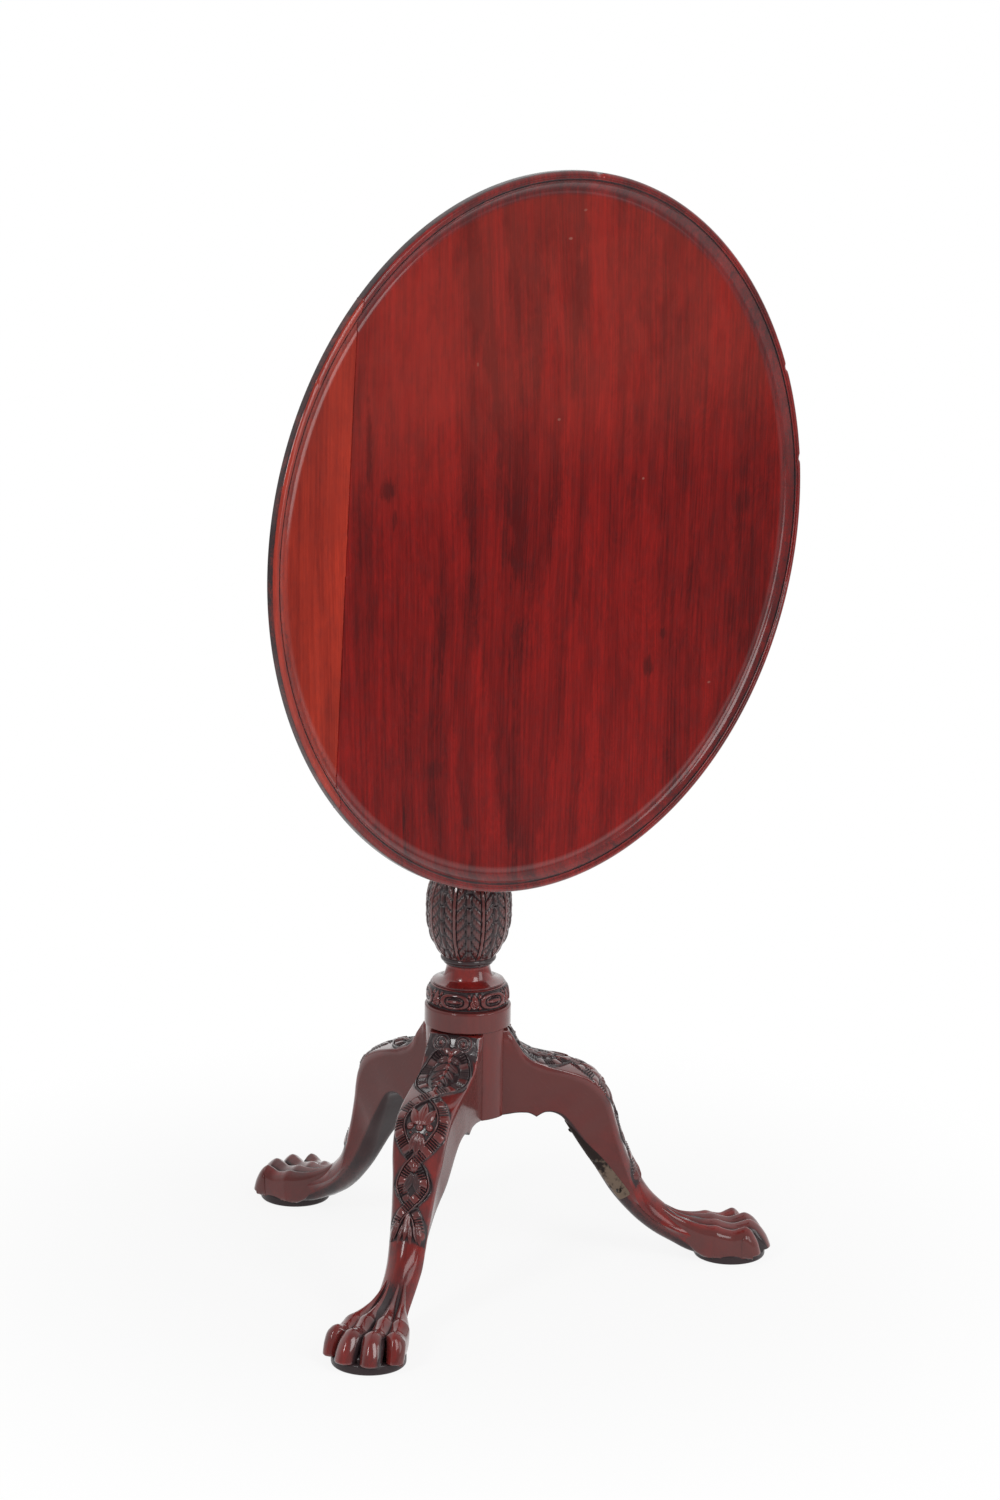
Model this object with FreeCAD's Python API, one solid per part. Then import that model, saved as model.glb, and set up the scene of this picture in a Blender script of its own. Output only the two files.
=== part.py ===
import FreeCAD, Part
import math
import os

# Tilt-top tripod table. Millimetres, +Z up. The origin is on the floor, on the column's axis.
# The top is tilted up at rest and its face looks along -Y. The hinge axis runs along X.

Vector = FreeCAD.Vector

# Fits
glue_gap = 0.05
running_gap = 0.3
pin_gap = 0.06
overrun = 5.0
arris = 1.0
upright_share = 0.9
half_root = math.sqrt(0.5)

# Top
top_radius = 342.0
top_thickness = 22.0
top_centre_height = 758.7
dish_depth = 7.5
rim_lip_width = 5.2
rim_fillet_width = 2.3
rim_fillet_drop = 1.2
rim_quirk_width = 1.3
rim_quirk_drop = 2.4
rim_cove_width = 12.0
rim_cove_start_drop = 1.6
edge_height = 9.5
edge_round = 3.2
bevel_width = 26.0
side_board_width = 92.7
seam_lean_degrees = 3.1

# Hinge
hinge_setback = 70.0
hinge_to_underside = 15.0
tilt_degrees = 90.0

# Block
block_width = 150.0
block_thickness = 44.0
pin_radius = 9.0

# Bearers
bearer_width = 25.0
bearer_length = 548.0
bearer_end_depth = 11.0
bearer_end_taper = 80.0
bearer_screw_spacing = 190.0
bearer_screw_offset = 25.0

# Screws that hold the bearers
long_screw_radius = 2.2
long_screw_head_radius = 4.6
long_screw_head_height = 2.8
long_screw_bite = 9.0
long_screw_counterbore = 9.0

# Small brass and iron screws
small_screw_radius = 1.4
small_screw_head_radius = 2.9
small_screw_head_height = 1.5
small_screw_length = 9.0
screw_slot_width = 0.8
screw_slot_depth = 0.7

# Column, from the bottom up
core_radius = 41.0
core_bottom = 166.5
drum_radius = 42.3
drum_bottom = 256.2
drum_height = 20.6
drum_round = 2.2
band_height = 21.0
band_foot_radius = 38.6
band_bulge_radius = 40.6
band_top_radius = 36.4
flange_radius = 35.2
flange_height = 2.2
flange_rise = 3.6
neck_foot_radius = 24.6
neck_radius = 21.3
neck_height = 12.0
neck_collar_height = 2.0
lower_ring_radius = 24.4
lower_ring_height = 3.4
upper_ring_radius = 27.2
upper_ring_height = 4.4
urn_height = 101.0
urn_radius = 42.0
urn_radius_shares = ((0.0, 0.62), (0.04, 0.70), (0.13, 0.835), (0.23, 0.93), (0.33, 0.985), (0.46, 1.0),
                     (0.60, 0.985), (0.73, 0.905), (0.85, 0.755), (0.94, 0.61), (1.0, 0.545))
shaft_ring_radius = 27.5
shaft_ring_height = 5.0
shaft_collar_height = 7.0
shaft_foot_radius = 25.0
shaft_head_radius = 19.5
cap_ring_radius = 24.0
cap_ring_height = 5.0
cap_radius = 30.0
cap_height = 9.0
tenon_radius = 19.0
tenon_kerf = 3.4
tenon_kerf_depth = 30.0
tenon_kerf_tip = 1.6

# Legs
leg_turn_degrees = -2.3
front_left_leg_degrees = -60.0
front_right_leg_degrees = 60.0
back_leg_degrees = 180.0
leg_thickness = 54.5
pad_reach = 270.0
pad_radius = 35.7
pad_height = 10.0
pad_round = 2.5
tongue_depth = 18.0
tongue_neck = 15.0
tongue_flare = 3.0
tongue_height = 74.0
cusp_drop = 3.6
cusp_half_width = 9.0
closing_share = 0.35

# Each station of a leg: the front line's and the back line's places as shares of the run from the
# column's flat to the pad's centre and of the height under the drum, then the width, the crown of
# the front and the roundness of the back corners as shares of the leg's thickness.
leg_station_shares = (
    (0.000, 0.996, 0.000, 0.650, 1.00, 0.02, 0.03),
    (0.040, 0.985, 0.030, 0.653, 1.00, 0.03, 0.03),
    (0.070, 0.930, 0.060, 0.656, 1.00, 0.04, 0.03),
    (0.105, 0.889, 0.095, 0.655, 1.00, 0.05, 0.03),
    (0.164, 0.861, 0.145, 0.650, 1.00, 0.07, 0.03),
    (0.251, 0.840, 0.205, 0.652, 1.01, 0.09, 0.04),
    (0.331, 0.817, 0.252, 0.629, 1.01, 0.10, 0.07),
    (0.389, 0.790, 0.285, 0.586, 1.00, 0.10, 0.11),
    (0.429, 0.755, 0.312, 0.543, 0.99, 0.10, 0.14),
    (0.460, 0.706, 0.339, 0.502, 0.97, 0.10, 0.16),
    (0.481, 0.650, 0.366, 0.463, 0.93, 0.10, 0.18),
    (0.500, 0.591, 0.393, 0.424, 0.86, 0.10, 0.20),
    (0.523, 0.527, 0.419, 0.385, 0.80, 0.10, 0.22),
    (0.550, 0.461, 0.448, 0.340, 0.75, 0.11, 0.23),
    (0.581, 0.402, 0.477, 0.297, 0.71, 0.14, 0.23),
    (0.612, 0.342, 0.513, 0.252, 0.68, 0.17, 0.22),
    (0.653, 0.283, 0.555, 0.207, 0.66, 0.22, 0.21),
    (0.703, 0.234, 0.603, 0.162, 0.64, 0.25, 0.20),
    (0.761, 0.190, 0.665, 0.115, 0.65, 0.25, 0.20),
    (0.816, 0.166, 0.736, 0.076, 0.71, 0.24, 0.19),
    (0.875, 0.152, 0.816, 0.041, 0.86, 0.22, 0.14),
    (0.950, 0.121, 0.925, 0.022, 1.08, 0.12, 0.08),
    (1.045, 0.108, 1.035, 0.020, 1.22, 0.08, 0.06),
    (1.118, 0.052, 1.120, 0.020, 1.12, 0.04, 0.04),
)

# Outer and inner toes of the paw: first knuckle, second knuckle and tip, each as shares of the
# pad's radius from the pad's centre: outwards, sideways and up, then the radius there.
toe_shares = (
    ((-0.53, 0.60, 0.69, 0.20), (0.22, 0.77, 0.73, 0.21), (0.46, 0.90, 0.29, 0.21)),
    ((-0.45, 0.24, 0.77, 0.205), (0.46, 0.28, 0.80, 0.21), (0.95, 0.36, 0.29, 0.22)),
)
claw_root_share = 0.97

# Repair strap on the front right leg. Its stations: place of the middle line as shares of the leg's
# run and height, sideways place as a share of the leg's thickness, and roll in degrees.
strap_width = 15.0
strap_thickness = 2.6
strap_station_shares = ((0.285, 0.600, -0.27, 60.0), (0.405, 0.430, -0.30, 36.0), (0.533, 0.272, -0.26, 22.0))
strap_screw_shares = (0.09, 0.48, 0.90)
strap_screw_length = 14.0

# Catch under the top and strike on the block
catch_gap_to_block = 4.0
catch_plate_width = 36.0
catch_plate_length = 64.0
catch_plate_thickness = 2.0
catch_screw_inset = 5.0
housing_width = 24.0
housing_length = 46.0
housing_depth = 12.0
housing_wall = 2.2
bolt_width = 13.0
bolt_thickness = 6.0
bolt_lift = 1.2
bolt_reach = 5.0
bolt_body = 26.0
bolt_travel = 6.5
bolt_bevel = 3.5
tail_radius = 1.7
spring_wire = 0.8
spring_radius = 3.0
spring_turns = 7
spring_seat_gap = 0.3
knob_radius = 4.6
knob_stem_radius = 2.2
knob_waist_radius = 2.8
knob_length = 11.0
strike_width = 44.0
strike_height = 15.0
strike_thickness = 1.6
strike_top_gap = 0.6
strike_screw_spacing = 32.0

# Places worked out from the sizes above
drum_top = drum_bottom + drum_height
hinge_height = top_centre_height - hinge_setback
block_top = hinge_height + hinge_to_underside - running_gap
block_bottom = block_top - block_thickness
block_half_depth = hinge_setback + hinge_to_underside - running_gap
core_flat = math.sqrt(core_radius ** 2 - (leg_thickness / 2) ** 2)
leg_run = pad_reach - core_flat
bearer_depth = 2 * hinge_to_underside
bearer_place = block_width / 2 + running_gap + bearer_width / 2
catch_start = block_half_depth + hinge_setback + catch_gap_to_block
bolt_top = hinge_to_underside - catch_plate_thickness - bolt_lift
bolt_bottom = bolt_top - bolt_thickness
bolt_middle = (bolt_top + bolt_bottom) / 2


def save(shape, node):
    """Writes one node and says how large it is."""
    shape.exportStep("parts/" + node + ".step")
    box = shape.optimalBoundingBox(False, False)
    print(node, len(shape.Solids), "solid(s)", round(shape.Volume / 1000, 1), "cm3", shape.isValid(),
          [round(v, 1) for v in (box.XMin, box.YMin, box.ZMin, box.XMax, box.YMax, box.ZMax)])


def box_between(low, high):
    """A box from its lowest to its highest corner."""
    return Part.makeBox(high[0] - low[0], high[1] - low[1], high[2] - low[2], Vector(*low))


def line(a, b):
    return Part.LineSegment(a, b).toShape()


def arc(a, middle, b):
    return Part.Arc(a, middle, b).toShape()


def spline(points):
    curve = Part.BSplineCurve()
    curve.interpolate(points)
    return curve.toShape()


def turned(edges):
    """Turns a closed outline in the XZ plane about Z."""
    return Part.Face(Part.Wire(edges)).revolve(Vector(0, 0, 0), Vector(0, 0, 1), 360)


def tilted_up(shape):
    """Moves a shape from the flat pose, with the hinge axis as its X axis, to its place at rest."""
    moved = shape.copy()
    moved.rotate(Vector(0, 0, 0), Vector(1, 0, 0), tilt_degrees)
    moved.translate(Vector(0, -hinge_setback, hinge_height))
    return moved


def slotted_screw(radius, head_radius, head_height, length):
    """A countersunk screw whose head is flush with z = 0 and whose shank points along -Z."""
    outline = [Vector(0, 0, 0), Vector(head_radius, 0, 0), Vector(radius, 0, -head_height),
               Vector(radius, 0, radius - length), Vector(0, 0, -length)]
    edges = [line(a, b) for a, b in zip(outline, outline[1:] + outline[:1])]
    slot = box_between((-head_radius, -screw_slot_width / 2, -screw_slot_depth),
                       (head_radius, screw_slot_width / 2, overrun))
    return turned(edges).cut(slot)


def screw_hole(radius, head_radius, head_height, length, head_room=arris):
    """The space for such a screw, with glue_gap around it and head_room of open hole above it."""
    wide = head_radius + glue_gap
    narrow = radius + glue_gap
    foot = -length - glue_gap
    outline = [Vector(0, 0, head_room), Vector(wide, 0, head_room), Vector(wide, 0, 0),
               Vector(narrow, 0, -head_height), Vector(narrow, 0, foot), Vector(0, 0, foot)]
    return turned([line(a, b) for a, b in zip(outline, outline[1:] + outline[:1])])


def long_screw_hole(head_room):
    return screw_hole(long_screw_radius, long_screw_head_radius, long_screw_head_height, long_screw_length(),
                      head_room)


def small_screw_hole(length):
    return screw_hole(small_screw_radius, small_screw_head_radius, small_screw_head_height, length)


def small_screw(length):
    return slotted_screw(small_screw_radius, small_screw_head_radius, small_screw_head_height, length)


def upright_edges(solid):
    return [edge for edge in solid.Edges if abs(edge.tangentAt(edge.FirstParameter).z) > upright_share]


def aimed(shape, place, direction):
    """Turns a shape's +Z to a direction and puts its origin at a place."""
    moved = shape.copy()
    moved.Placement = FreeCAD.Placement(place, FreeCAD.Rotation(Vector(0, 0, 1), direction))
    return moved


# Top, in the flat pose: z = 0 is the hinge axis, the underside is at z = hinge_to_underside

def whole_top():
    """The dished round top: moulded rim, flat field, rounded edge and bevelled underside."""
    under = hinge_to_underside
    face = under + top_thickness
    field = face - dish_depth
    lip = top_radius - rim_lip_width
    fillet = lip - rim_fillet_width
    quirk = fillet - rim_quirk_width
    cove = quirk - rim_cove_width
    edge_low = face - edge_height
    cove_drop = dish_depth - rim_cove_start_drop
    p = [Vector(0, 0, under), Vector(top_radius - bevel_width, 0, under), Vector(top_radius, 0, edge_low),
         Vector(top_radius, 0, face - edge_round), Vector(top_radius - edge_round, 0, face),
         Vector(lip, 0, face), Vector(lip, 0, face - rim_fillet_drop),
         Vector(fillet, 0, face - rim_fillet_drop),
         Vector(fillet, 0, face - rim_quirk_drop), Vector(quirk, 0, face - rim_quirk_drop),
         Vector(quirk, 0, face - rim_cove_start_drop), Vector(cove, 0, field), Vector(0, 0, field)]
    edge_middle = Vector(top_radius - edge_round * (1 - half_root), 0, face - edge_round * (1 - half_root))
    cove_middle = Vector(quirk - rim_cove_width * (1 - half_root), 0, field + cove_drop * (1 - half_root))
    edges = [line(p[0], p[1]), line(p[1], p[2]), line(p[2], p[3]), arc(p[3], edge_middle, p[4])]
    edges += [line(a, b) for a, b in zip(p[4:10], p[5:11])]
    edges += [arc(p[10], cove_middle, p[11]), line(p[11], p[12]), line(p[12], p[0])]
    disc = turned(edges)
    disc.translate(Vector(0, hinge_setback, 0))
    return disc


def seam_side():
    """The space on the side board's side of the glued seam, which leans a little off square."""
    reach = 2 * top_radius
    half = box_between((-reach, -reach, 0), (side_board_width - top_radius, reach, reach))
    half.rotate(Vector(0, 0, 0), Vector(0, 0, 1), -seam_lean_degrees)
    half.translate(Vector(0, hinge_setback, 0))
    return half


def bearer_screw_places():
    """Where the bearer screws stand, on both bearers."""
    places = []
    for side in (-1, 1):
        for step in (-1, 0, 1):
            along = hinge_setback + bearer_screw_offset + step * bearer_screw_spacing
            places.append(Vector(side * bearer_place, along, 0))
    return places


def bearer_screw_head_level():
    """How high the screw heads sit in the bearers, in the flat pose."""
    return hinge_to_underside - bearer_depth + long_screw_counterbore


def upward_screws(tool):
    """Copies a screw or its hole to each bearer screw's place, pointing up into the top."""
    level = Vector(0, 0, bearer_screw_head_level())
    return [aimed(tool, place + level, Vector(0, 0, -1)) for place in bearer_screw_places()]


def bearer(side):
    """One batten under the top, tapered at its ends, bored for the block's pin."""
    top = hinge_to_underside
    low = top - bearer_depth
    end_low = top - bearer_end_depth
    start = hinge_setback - bearer_length / 2
    end = hinge_setback + bearer_length / 2
    left = side * bearer_place - bearer_width / 2
    outline = [(start, top), (start, end_low), (start + bearer_end_taper, low), (end - bearer_end_taper, low),
               (end, end_low), (end, top)]
    points = [Vector(left, y, z) for y, z in outline]
    face = Part.Face(Part.makePolygon(points + points[:1]))
    bar = face.extrude(Vector(bearer_width, 0, 0))
    bore = Part.makeCylinder(pin_radius + pin_gap, bearer_width + 2 * overrun, Vector(left - overrun, 0, 0),
                             Vector(1, 0, 0))
    return bar.cut([bore] + upward_screws(long_screw_hole(long_screw_counterbore + overrun)))


def long_screw_length():
    """From the head's seat in the bearer to the tip in the top."""
    return bearer_depth - long_screw_counterbore + long_screw_bite


# Catch, in the flat pose: it hangs under the top behind the block, and its bolt points to the block

def catch_screw_places():
    middle = catch_start + catch_plate_length / 2
    across = catch_plate_width / 2 - catch_screw_inset
    along = catch_plate_length / 2 - catch_screw_inset
    return [Vector(x * across, middle + y * along, hinge_to_underside - catch_plate_thickness)
            for x in (-1, 1) for y in (-1, 1)]


def downward_screws(tool, places):
    """Screws or holes that point up into the top from a place on its underside."""
    return [aimed(tool, place, Vector(0, 0, -1)) for place in places]


def catch_plate():
    under = hinge_to_underside
    half = catch_plate_width / 2
    plate = box_between((-half, catch_start, under - catch_plate_thickness),
                        (half, catch_start + catch_plate_length, under))
    plate = plate.makeFillet(catch_screw_inset, upright_edges(plate))
    return plate.cut(downward_screws(small_screw_hole(small_screw_length), catch_screw_places()))


def housing_span():
    """The start and end of the catch housing along the bolt's way."""
    start = catch_start + (catch_plate_length - housing_length) / 2
    return start, start + housing_length


def bolt_stop():
    """Where the bolt's body ends, when it is shot."""
    return housing_span()[0] + housing_wall + bolt_body


def catch_housing():
    """A brass box with a mouth for the bolt, a slot for the knob and a hole for the bolt's tail."""
    start, end = housing_span()
    high = hinge_to_underside - catch_plate_thickness
    low = high - housing_depth
    half = housing_width / 2
    shell = box_between((-half, start, low), (half, end, high))
    shell = shell.makeFillet(housing_wall / 2, upright_edges(shell))
    room = bolt_width / 2 + running_gap
    inside = box_between((-room, start + housing_wall, low + housing_wall),
                         (room, end - housing_wall, high + overrun))
    mouth = box_between((-room, start - overrun, bolt_bottom - running_gap),
                        (room, start + housing_wall, high + overrun))
    tail = Part.makeCylinder(tail_radius + running_gap, housing_wall + 2 * overrun,
                             Vector(0, end - housing_wall - overrun, bolt_middle), Vector(0, 1, 0))
    stem = knob_stem_radius + running_gap
    slot = box_between((-stem, knob_place() - stem, low - overrun),
                       (stem, knob_place() + bolt_travel + stem, high))
    return shell.cut([inside, mouth, tail, slot])


def knob_place():
    """The knob's place along the bolt, when it is shot."""
    return housing_span()[0] + housing_wall + bolt_body / 2


def catch_bolt():
    """The bolt: a bevelled nose, a body in the housing and a round tail through its end wall."""
    nose = catch_start - catch_gap_to_block - bolt_reach
    back = bolt_stop()
    half = bolt_width / 2
    outline = [(nose, bolt_bottom), (back, bolt_bottom), (back, bolt_top), (nose + bolt_bevel, bolt_top),
               (nose, bolt_top - bolt_bevel)]
    points = [Vector(-half, y, z) for y, z in outline]
    body = Part.Face(Part.makePolygon(points + points[:1])).extrude(Vector(bolt_width, 0, 0))
    tail_end = housing_span()[1] + bolt_travel / 2
    tail = Part.makeCylinder(tail_radius, tail_end - back + arris, Vector(0, back - arris, bolt_middle),
                             Vector(0, 1, 0))
    rivet = Part.makeCylinder(knob_stem_radius + glue_gap, bolt_thickness + 2 * overrun,
                              Vector(0, knob_place(), bolt_bottom - overrun))
    return body.fuse(tail).cut(rivet)


def catch_knob():
    """The thumb knob, riveted through the bolt: a stem, a waist and a ball."""
    seat = hinge_to_underside - catch_plate_thickness - housing_depth - running_gap
    tip = seat - knob_length
    ball = tip + knob_radius
    waist_top = Vector(knob_waist_radius, 0, seat)
    waist_low = Vector(knob_waist_radius, 0, ball + math.sqrt(knob_radius ** 2 - knob_waist_radius ** 2))
    stem_low = Vector(knob_stem_radius, 0, seat)
    stem_top = Vector(knob_stem_radius, 0, bolt_top)
    middle_top = Vector(0, 0, bolt_top)
    middle_tip = Vector(0, 0, tip)
    edges = [line(middle_top, stem_top), line(stem_top, stem_low), line(stem_low, waist_top),
             line(waist_top, waist_low), arc(waist_low, Vector(knob_radius, 0, ball), middle_tip),
             line(middle_tip, middle_top)]
    knob = turned(edges)
    knob.translate(Vector(0, knob_place(), 0))
    return knob


def catch_spring():
    """The coil spring on the bolt's tail, between the bolt's body and the housing's end wall."""
    start = bolt_stop() + spring_seat_gap + spring_wire / 2
    end = housing_span()[1] - housing_wall - spring_seat_gap - spring_wire / 2
    helix = Part.makeHelix((end - start) / spring_turns, end - start, spring_radius)
    section = Part.Wire(Part.makeCircle(spring_wire / 2, Vector(spring_radius, 0, 0), Vector(0, 1, 0)))
    coil = Part.Wire(helix.Edges).makePipeShell([section], True, True)
    return aimed(coil, Vector(0, start, bolt_middle), Vector(0, 1, 0))


# Strike on the block's back face, in the part's own frame

def strike_levels():
    high = block_top - strike_top_gap
    return high - strike_height, high


def strike_box(grow, proud):
    """The strike's outline, grown all round and standing proud of the block's back face."""
    low, high = strike_levels()
    half = strike_width / 2 + grow
    return box_between((-half, block_half_depth - strike_thickness, low - grow),
                       (half, block_half_depth + proud, high + grow))


def strike_mouth():
    """The slot that the bolt enters, cut in the strike and in the block."""
    half = bolt_width / 2 + running_gap
    deep = bolt_reach + running_gap
    return box_between((-half, block_half_depth - deep, hinge_height + bolt_bottom - running_gap),
                       (half, block_half_depth + overrun, hinge_height + bolt_top + running_gap))


def strike_screw_places():
    low, high = strike_levels()
    return [Vector(side * strike_screw_spacing / 2, block_half_depth, (low + high) / 2) for side in (-1, 1)]


def backward_screws(tool):
    """Copies a screw or its hole to each place on the strike."""
    return [aimed(tool, place, Vector(0, 1, 0)) for place in strike_screw_places()]


def strike_plate():
    return strike_box(0.0, 0.0).cut([strike_mouth()] + backward_screws(small_screw_hole(small_screw_length)))


# Block and column

def pivot_block():
    """The block on the column's head, its front edge rounded about the hinge, with two round pins."""
    half = block_width / 2
    depth = block_half_depth
    radius = hinge_to_underside - running_gap
    corner = Vector(-half, -depth, hinge_height)
    crown = Vector(-half, -hinge_setback, block_top)
    middle = Vector(-half, -hinge_setback - radius * half_root, hinge_height + radius * half_root)
    low_front = Vector(-half, -depth, block_bottom)
    low_back = Vector(-half, depth, block_bottom)
    high_back = Vector(-half, depth, block_top)
    edges = [line(low_front, corner), arc(corner, middle, crown), line(crown, high_back),
             line(high_back, low_back), line(low_back, low_front)]
    block = Part.Face(Part.Wire(edges)).extrude(Vector(block_width, 0, 0))
    reach = bearer_place + bearer_width / 2
    pins = Part.makeCylinder(pin_radius, 2 * reach, Vector(-reach, -hinge_setback, hinge_height),
                             Vector(1, 0, 0))
    mortise = Part.makeCylinder(tenon_radius + glue_gap, block_thickness + 2 * overrun,
                                Vector(0, 0, block_bottom - overrun))
    tools = [mortise, strike_box(glue_gap, overrun), strike_mouth()]
    return block.fuse(pins).cut(tools + backward_screws(small_screw_hole(small_screw_length)))


def kerf_outline(grow):
    """The wedge's outline in the XZ plane: wide at the tenon's end, narrow at its foot."""
    foot = block_top - tenon_kerf_depth - grow
    wide = tenon_kerf / 2 + grow
    narrow = tenon_kerf_tip / 2 + grow
    return [Vector(-narrow, 0, foot), Vector(narrow, 0, foot), Vector(wide, 0, block_top),
            Vector(-wide, 0, block_top)]


def kerf_prism(grow, length):
    points = kerf_outline(grow)
    face = Part.Face(Part.makePolygon(points + points[:1]))
    prism = face.extrude(Vector(0, length, 0))
    prism.translate(Vector(0, -length / 2, 0))
    return prism


def tenon_wedge():
    inside = Part.makeCylinder(tenon_radius, block_thickness, Vector(0, 0, block_bottom))
    return kerf_prism(0.0, 4 * tenon_radius).common(inside)


def column_outline():
    """The turned outline of the column, from the middle of its foot to the middle of its head."""
    band_low = drum_top
    band_high = band_low + band_height
    flange_top = band_high + flange_height
    neck_foot = flange_top + flange_rise
    neck_top = neck_foot + neck_height
    ring_low = neck_top + neck_collar_height
    ring_middle = ring_low + lower_ring_height
    ring_top = ring_middle + upper_ring_height
    urn_top = ring_top + urn_height
    shaft_ring_top = urn_top + shaft_ring_height
    shaft_low = shaft_ring_top + shaft_collar_height
    cap_low = block_bottom - cap_height
    cap_ring_low = cap_low - cap_ring_height
    shoulder = drum_top - drum_round
    drum_edge = drum_radius - drum_round
    urn_foot = urn_radius * urn_radius_shares[0][1]
    urn_head = urn_radius * urn_radius_shares[-1][1]
    edges = []

    def v(radius, height):
        return Vector(radius, 0, height)

    def run(*points):
        edges.extend(line(a, b) for a, b in zip(points, points[1:]))

    def bow(radius_low, low, radius_middle, radius_high, high, rise=0.5):
        middle = v(radius_middle, low + (high - low) * rise)
        edges.append(arc(v(radius_low, low), middle, v(radius_high, high)))

    run(v(0, core_bottom), v(core_radius, core_bottom), v(core_radius, drum_bottom),
        v(drum_radius, drum_bottom), v(drum_radius, shoulder))
    bow(drum_radius, shoulder, drum_edge + drum_round * half_root, drum_edge, drum_top, half_root)
    run(v(drum_edge, drum_top), v(band_foot_radius, band_low))
    bow(band_foot_radius, band_low, band_bulge_radius, band_top_radius, band_high)
    run(v(band_top_radius, band_high), v(flange_radius, band_high), v(flange_radius, flange_top))
    bow(flange_radius, flange_top, (flange_radius + neck_foot_radius) / 2, neck_foot_radius, neck_foot, 1 / 3)
    bow(neck_foot_radius, neck_foot, (neck_foot_radius + 2 * neck_radius) / 3, neck_radius, neck_top)
    run(v(neck_radius, neck_top), v(neck_radius, ring_low), v(neck_radius + arris, ring_low))
    bow(neck_radius + arris, ring_low, lower_ring_radius, neck_radius + arris, ring_middle)
    bow(neck_radius + arris, ring_middle, upper_ring_radius, urn_foot, ring_top)
    edges.append(spline([v(urn_radius * r, ring_top + urn_height * h) for h, r in urn_radius_shares]))
    bow(urn_head, urn_top, shaft_ring_radius, shaft_foot_radius, shaft_ring_top)
    bow(shaft_foot_radius, shaft_ring_top, shaft_foot_radius - arris, shaft_foot_radius, shaft_low)
    bow(shaft_foot_radius, shaft_low, (shaft_foot_radius + shaft_head_radius) / 2 + arris, shaft_head_radius,
        cap_ring_low)
    bow(shaft_head_radius, cap_ring_low, cap_ring_radius, shaft_head_radius, cap_low)
    bow(shaft_head_radius, cap_low, (shaft_head_radius + 2 * cap_radius) / 3, cap_radius, block_bottom, 1 / 3)
    run(v(cap_radius, block_bottom), v(tenon_radius, block_bottom), v(tenon_radius, block_top),
        v(0, block_top), v(0, core_bottom))
    return edges


def tongue_prism(grow, below, outside):
    """A dovetail along X: a leg's tongue, or its socket, which is grown and open below."""
    neck = tongue_neck / 2 + grow
    tail = neck + tongue_flare
    inner = core_flat - tongue_depth - grow
    low = core_bottom - below
    high = core_bottom + tongue_height + grow
    outer = core_flat + outside
    points = [Vector(outer, -neck, low), Vector(outer, neck, low), Vector(core_flat, neck, low),
              Vector(inner, tail, low), Vector(inner, -tail, low), Vector(core_flat, -neck, low)]
    return Part.Face(Part.makePolygon(points + points[:1])).extrude(Vector(0, 0, high - low))


def toward(shape, azimuth):
    """Turns a shape from the X axis to a leg's direction, counted from -Y towards +X."""
    moved = shape.copy()
    moved.rotate(Vector(0, 0, 0), Vector(0, 0, 1), azimuth + leg_turn_degrees - 90)
    return moved


def column():
    """The turned column with a flat and a dovetail socket for each leg, and a kerf in its tenon."""
    post = turned(column_outline())
    flat = box_between((core_flat, -core_radius, core_bottom - overrun),
                       (core_radius + overrun, core_radius, drum_bottom))
    tools = [kerf_prism(glue_gap, 4 * tenon_radius)]
    for azimuth in (front_left_leg_degrees, front_right_leg_degrees, back_leg_degrees):
        tools.append(toward(flat, azimuth))
        tools.append(toward(tongue_prism(glue_gap, overrun, glue_gap), azimuth))
    return post.cut(tools)


# Legs. A leg is made along the X axis and then turned to its place.

def leg_point(run_share, height_share, side=0.0):
    return Vector(core_flat + run_share * leg_run, side, height_share * drum_bottom)


def leg_section(station):
    """One section across a leg: crowned front, sides that close in and rounded back corners."""
    front_run, front_height, back_run, back_height, width_share, crown_share, round_share = station
    front = leg_point(front_run, front_height)
    back = leg_point(back_run, back_height)
    half = width_share * leg_thickness / 2
    crown = crown_share * leg_thickness
    radius = round_share * leg_thickness
    inwards = (back - front).normalize()
    side = Vector(0, 1, 0)
    narrow = half - radius * closing_share
    k = radius * (1 - half_root)
    shoulder = front + inwards * crown
    turn = back - inwards * radius
    corners = {}
    for sign in (-1, 1):
        corners[sign] = (shoulder + side * (sign * half), turn + side * (sign * narrow),
                         back - inwards * k + side * (sign * (narrow - k)),
                         back + side * (sign * (narrow - radius)))
    left, right = corners[-1], corners[1]
    edges = [arc(left[0], front, right[0]), line(right[0], right[1]), arc(right[1], right[2], right[3]),
             line(right[3], left[3]), arc(left[3], left[2], left[1]), line(left[1], left[0])]
    return Part.Wire(edges)


def finger(start, start_radius, end, end_radius):
    """A round bar with round ends, which tapers between two places."""
    length = start.distanceToPoint(end)
    slope = (start_radius - end_radius) / length
    rise = math.sqrt(1 - slope ** 2)
    a = Vector(0, 0, -start_radius)
    b = Vector(start_radius * rise, 0, start_radius * slope)
    c = Vector(end_radius * rise, 0, length + end_radius * slope)
    d = Vector(0, 0, length + end_radius)
    low = Vector(start_radius * half_root, 0, -start_radius * half_root)
    high = Vector(end_radius * half_root, 0, length + end_radius * half_root)
    body = turned([arc(a, low, b), line(b, c), arc(c, high, d), line(d, a)])
    return aimed(body, start, end - start)


def toe(places, side):
    """One toe of the paw: from its first knuckle to the second, and down to its tip."""
    knots = []
    for out, across, up, radius in places:
        place = Vector(pad_reach + out * pad_radius, side * across * pad_radius, up * pad_radius)
        knots.append((place, radius * pad_radius))
    (first, first_radius), (second, second_radius), (tip, tip_radius) = knots
    return [finger(first, first_radius, second, second_radius),
            finger(second, second_radius * claw_root_share, tip, tip_radius)]


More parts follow.
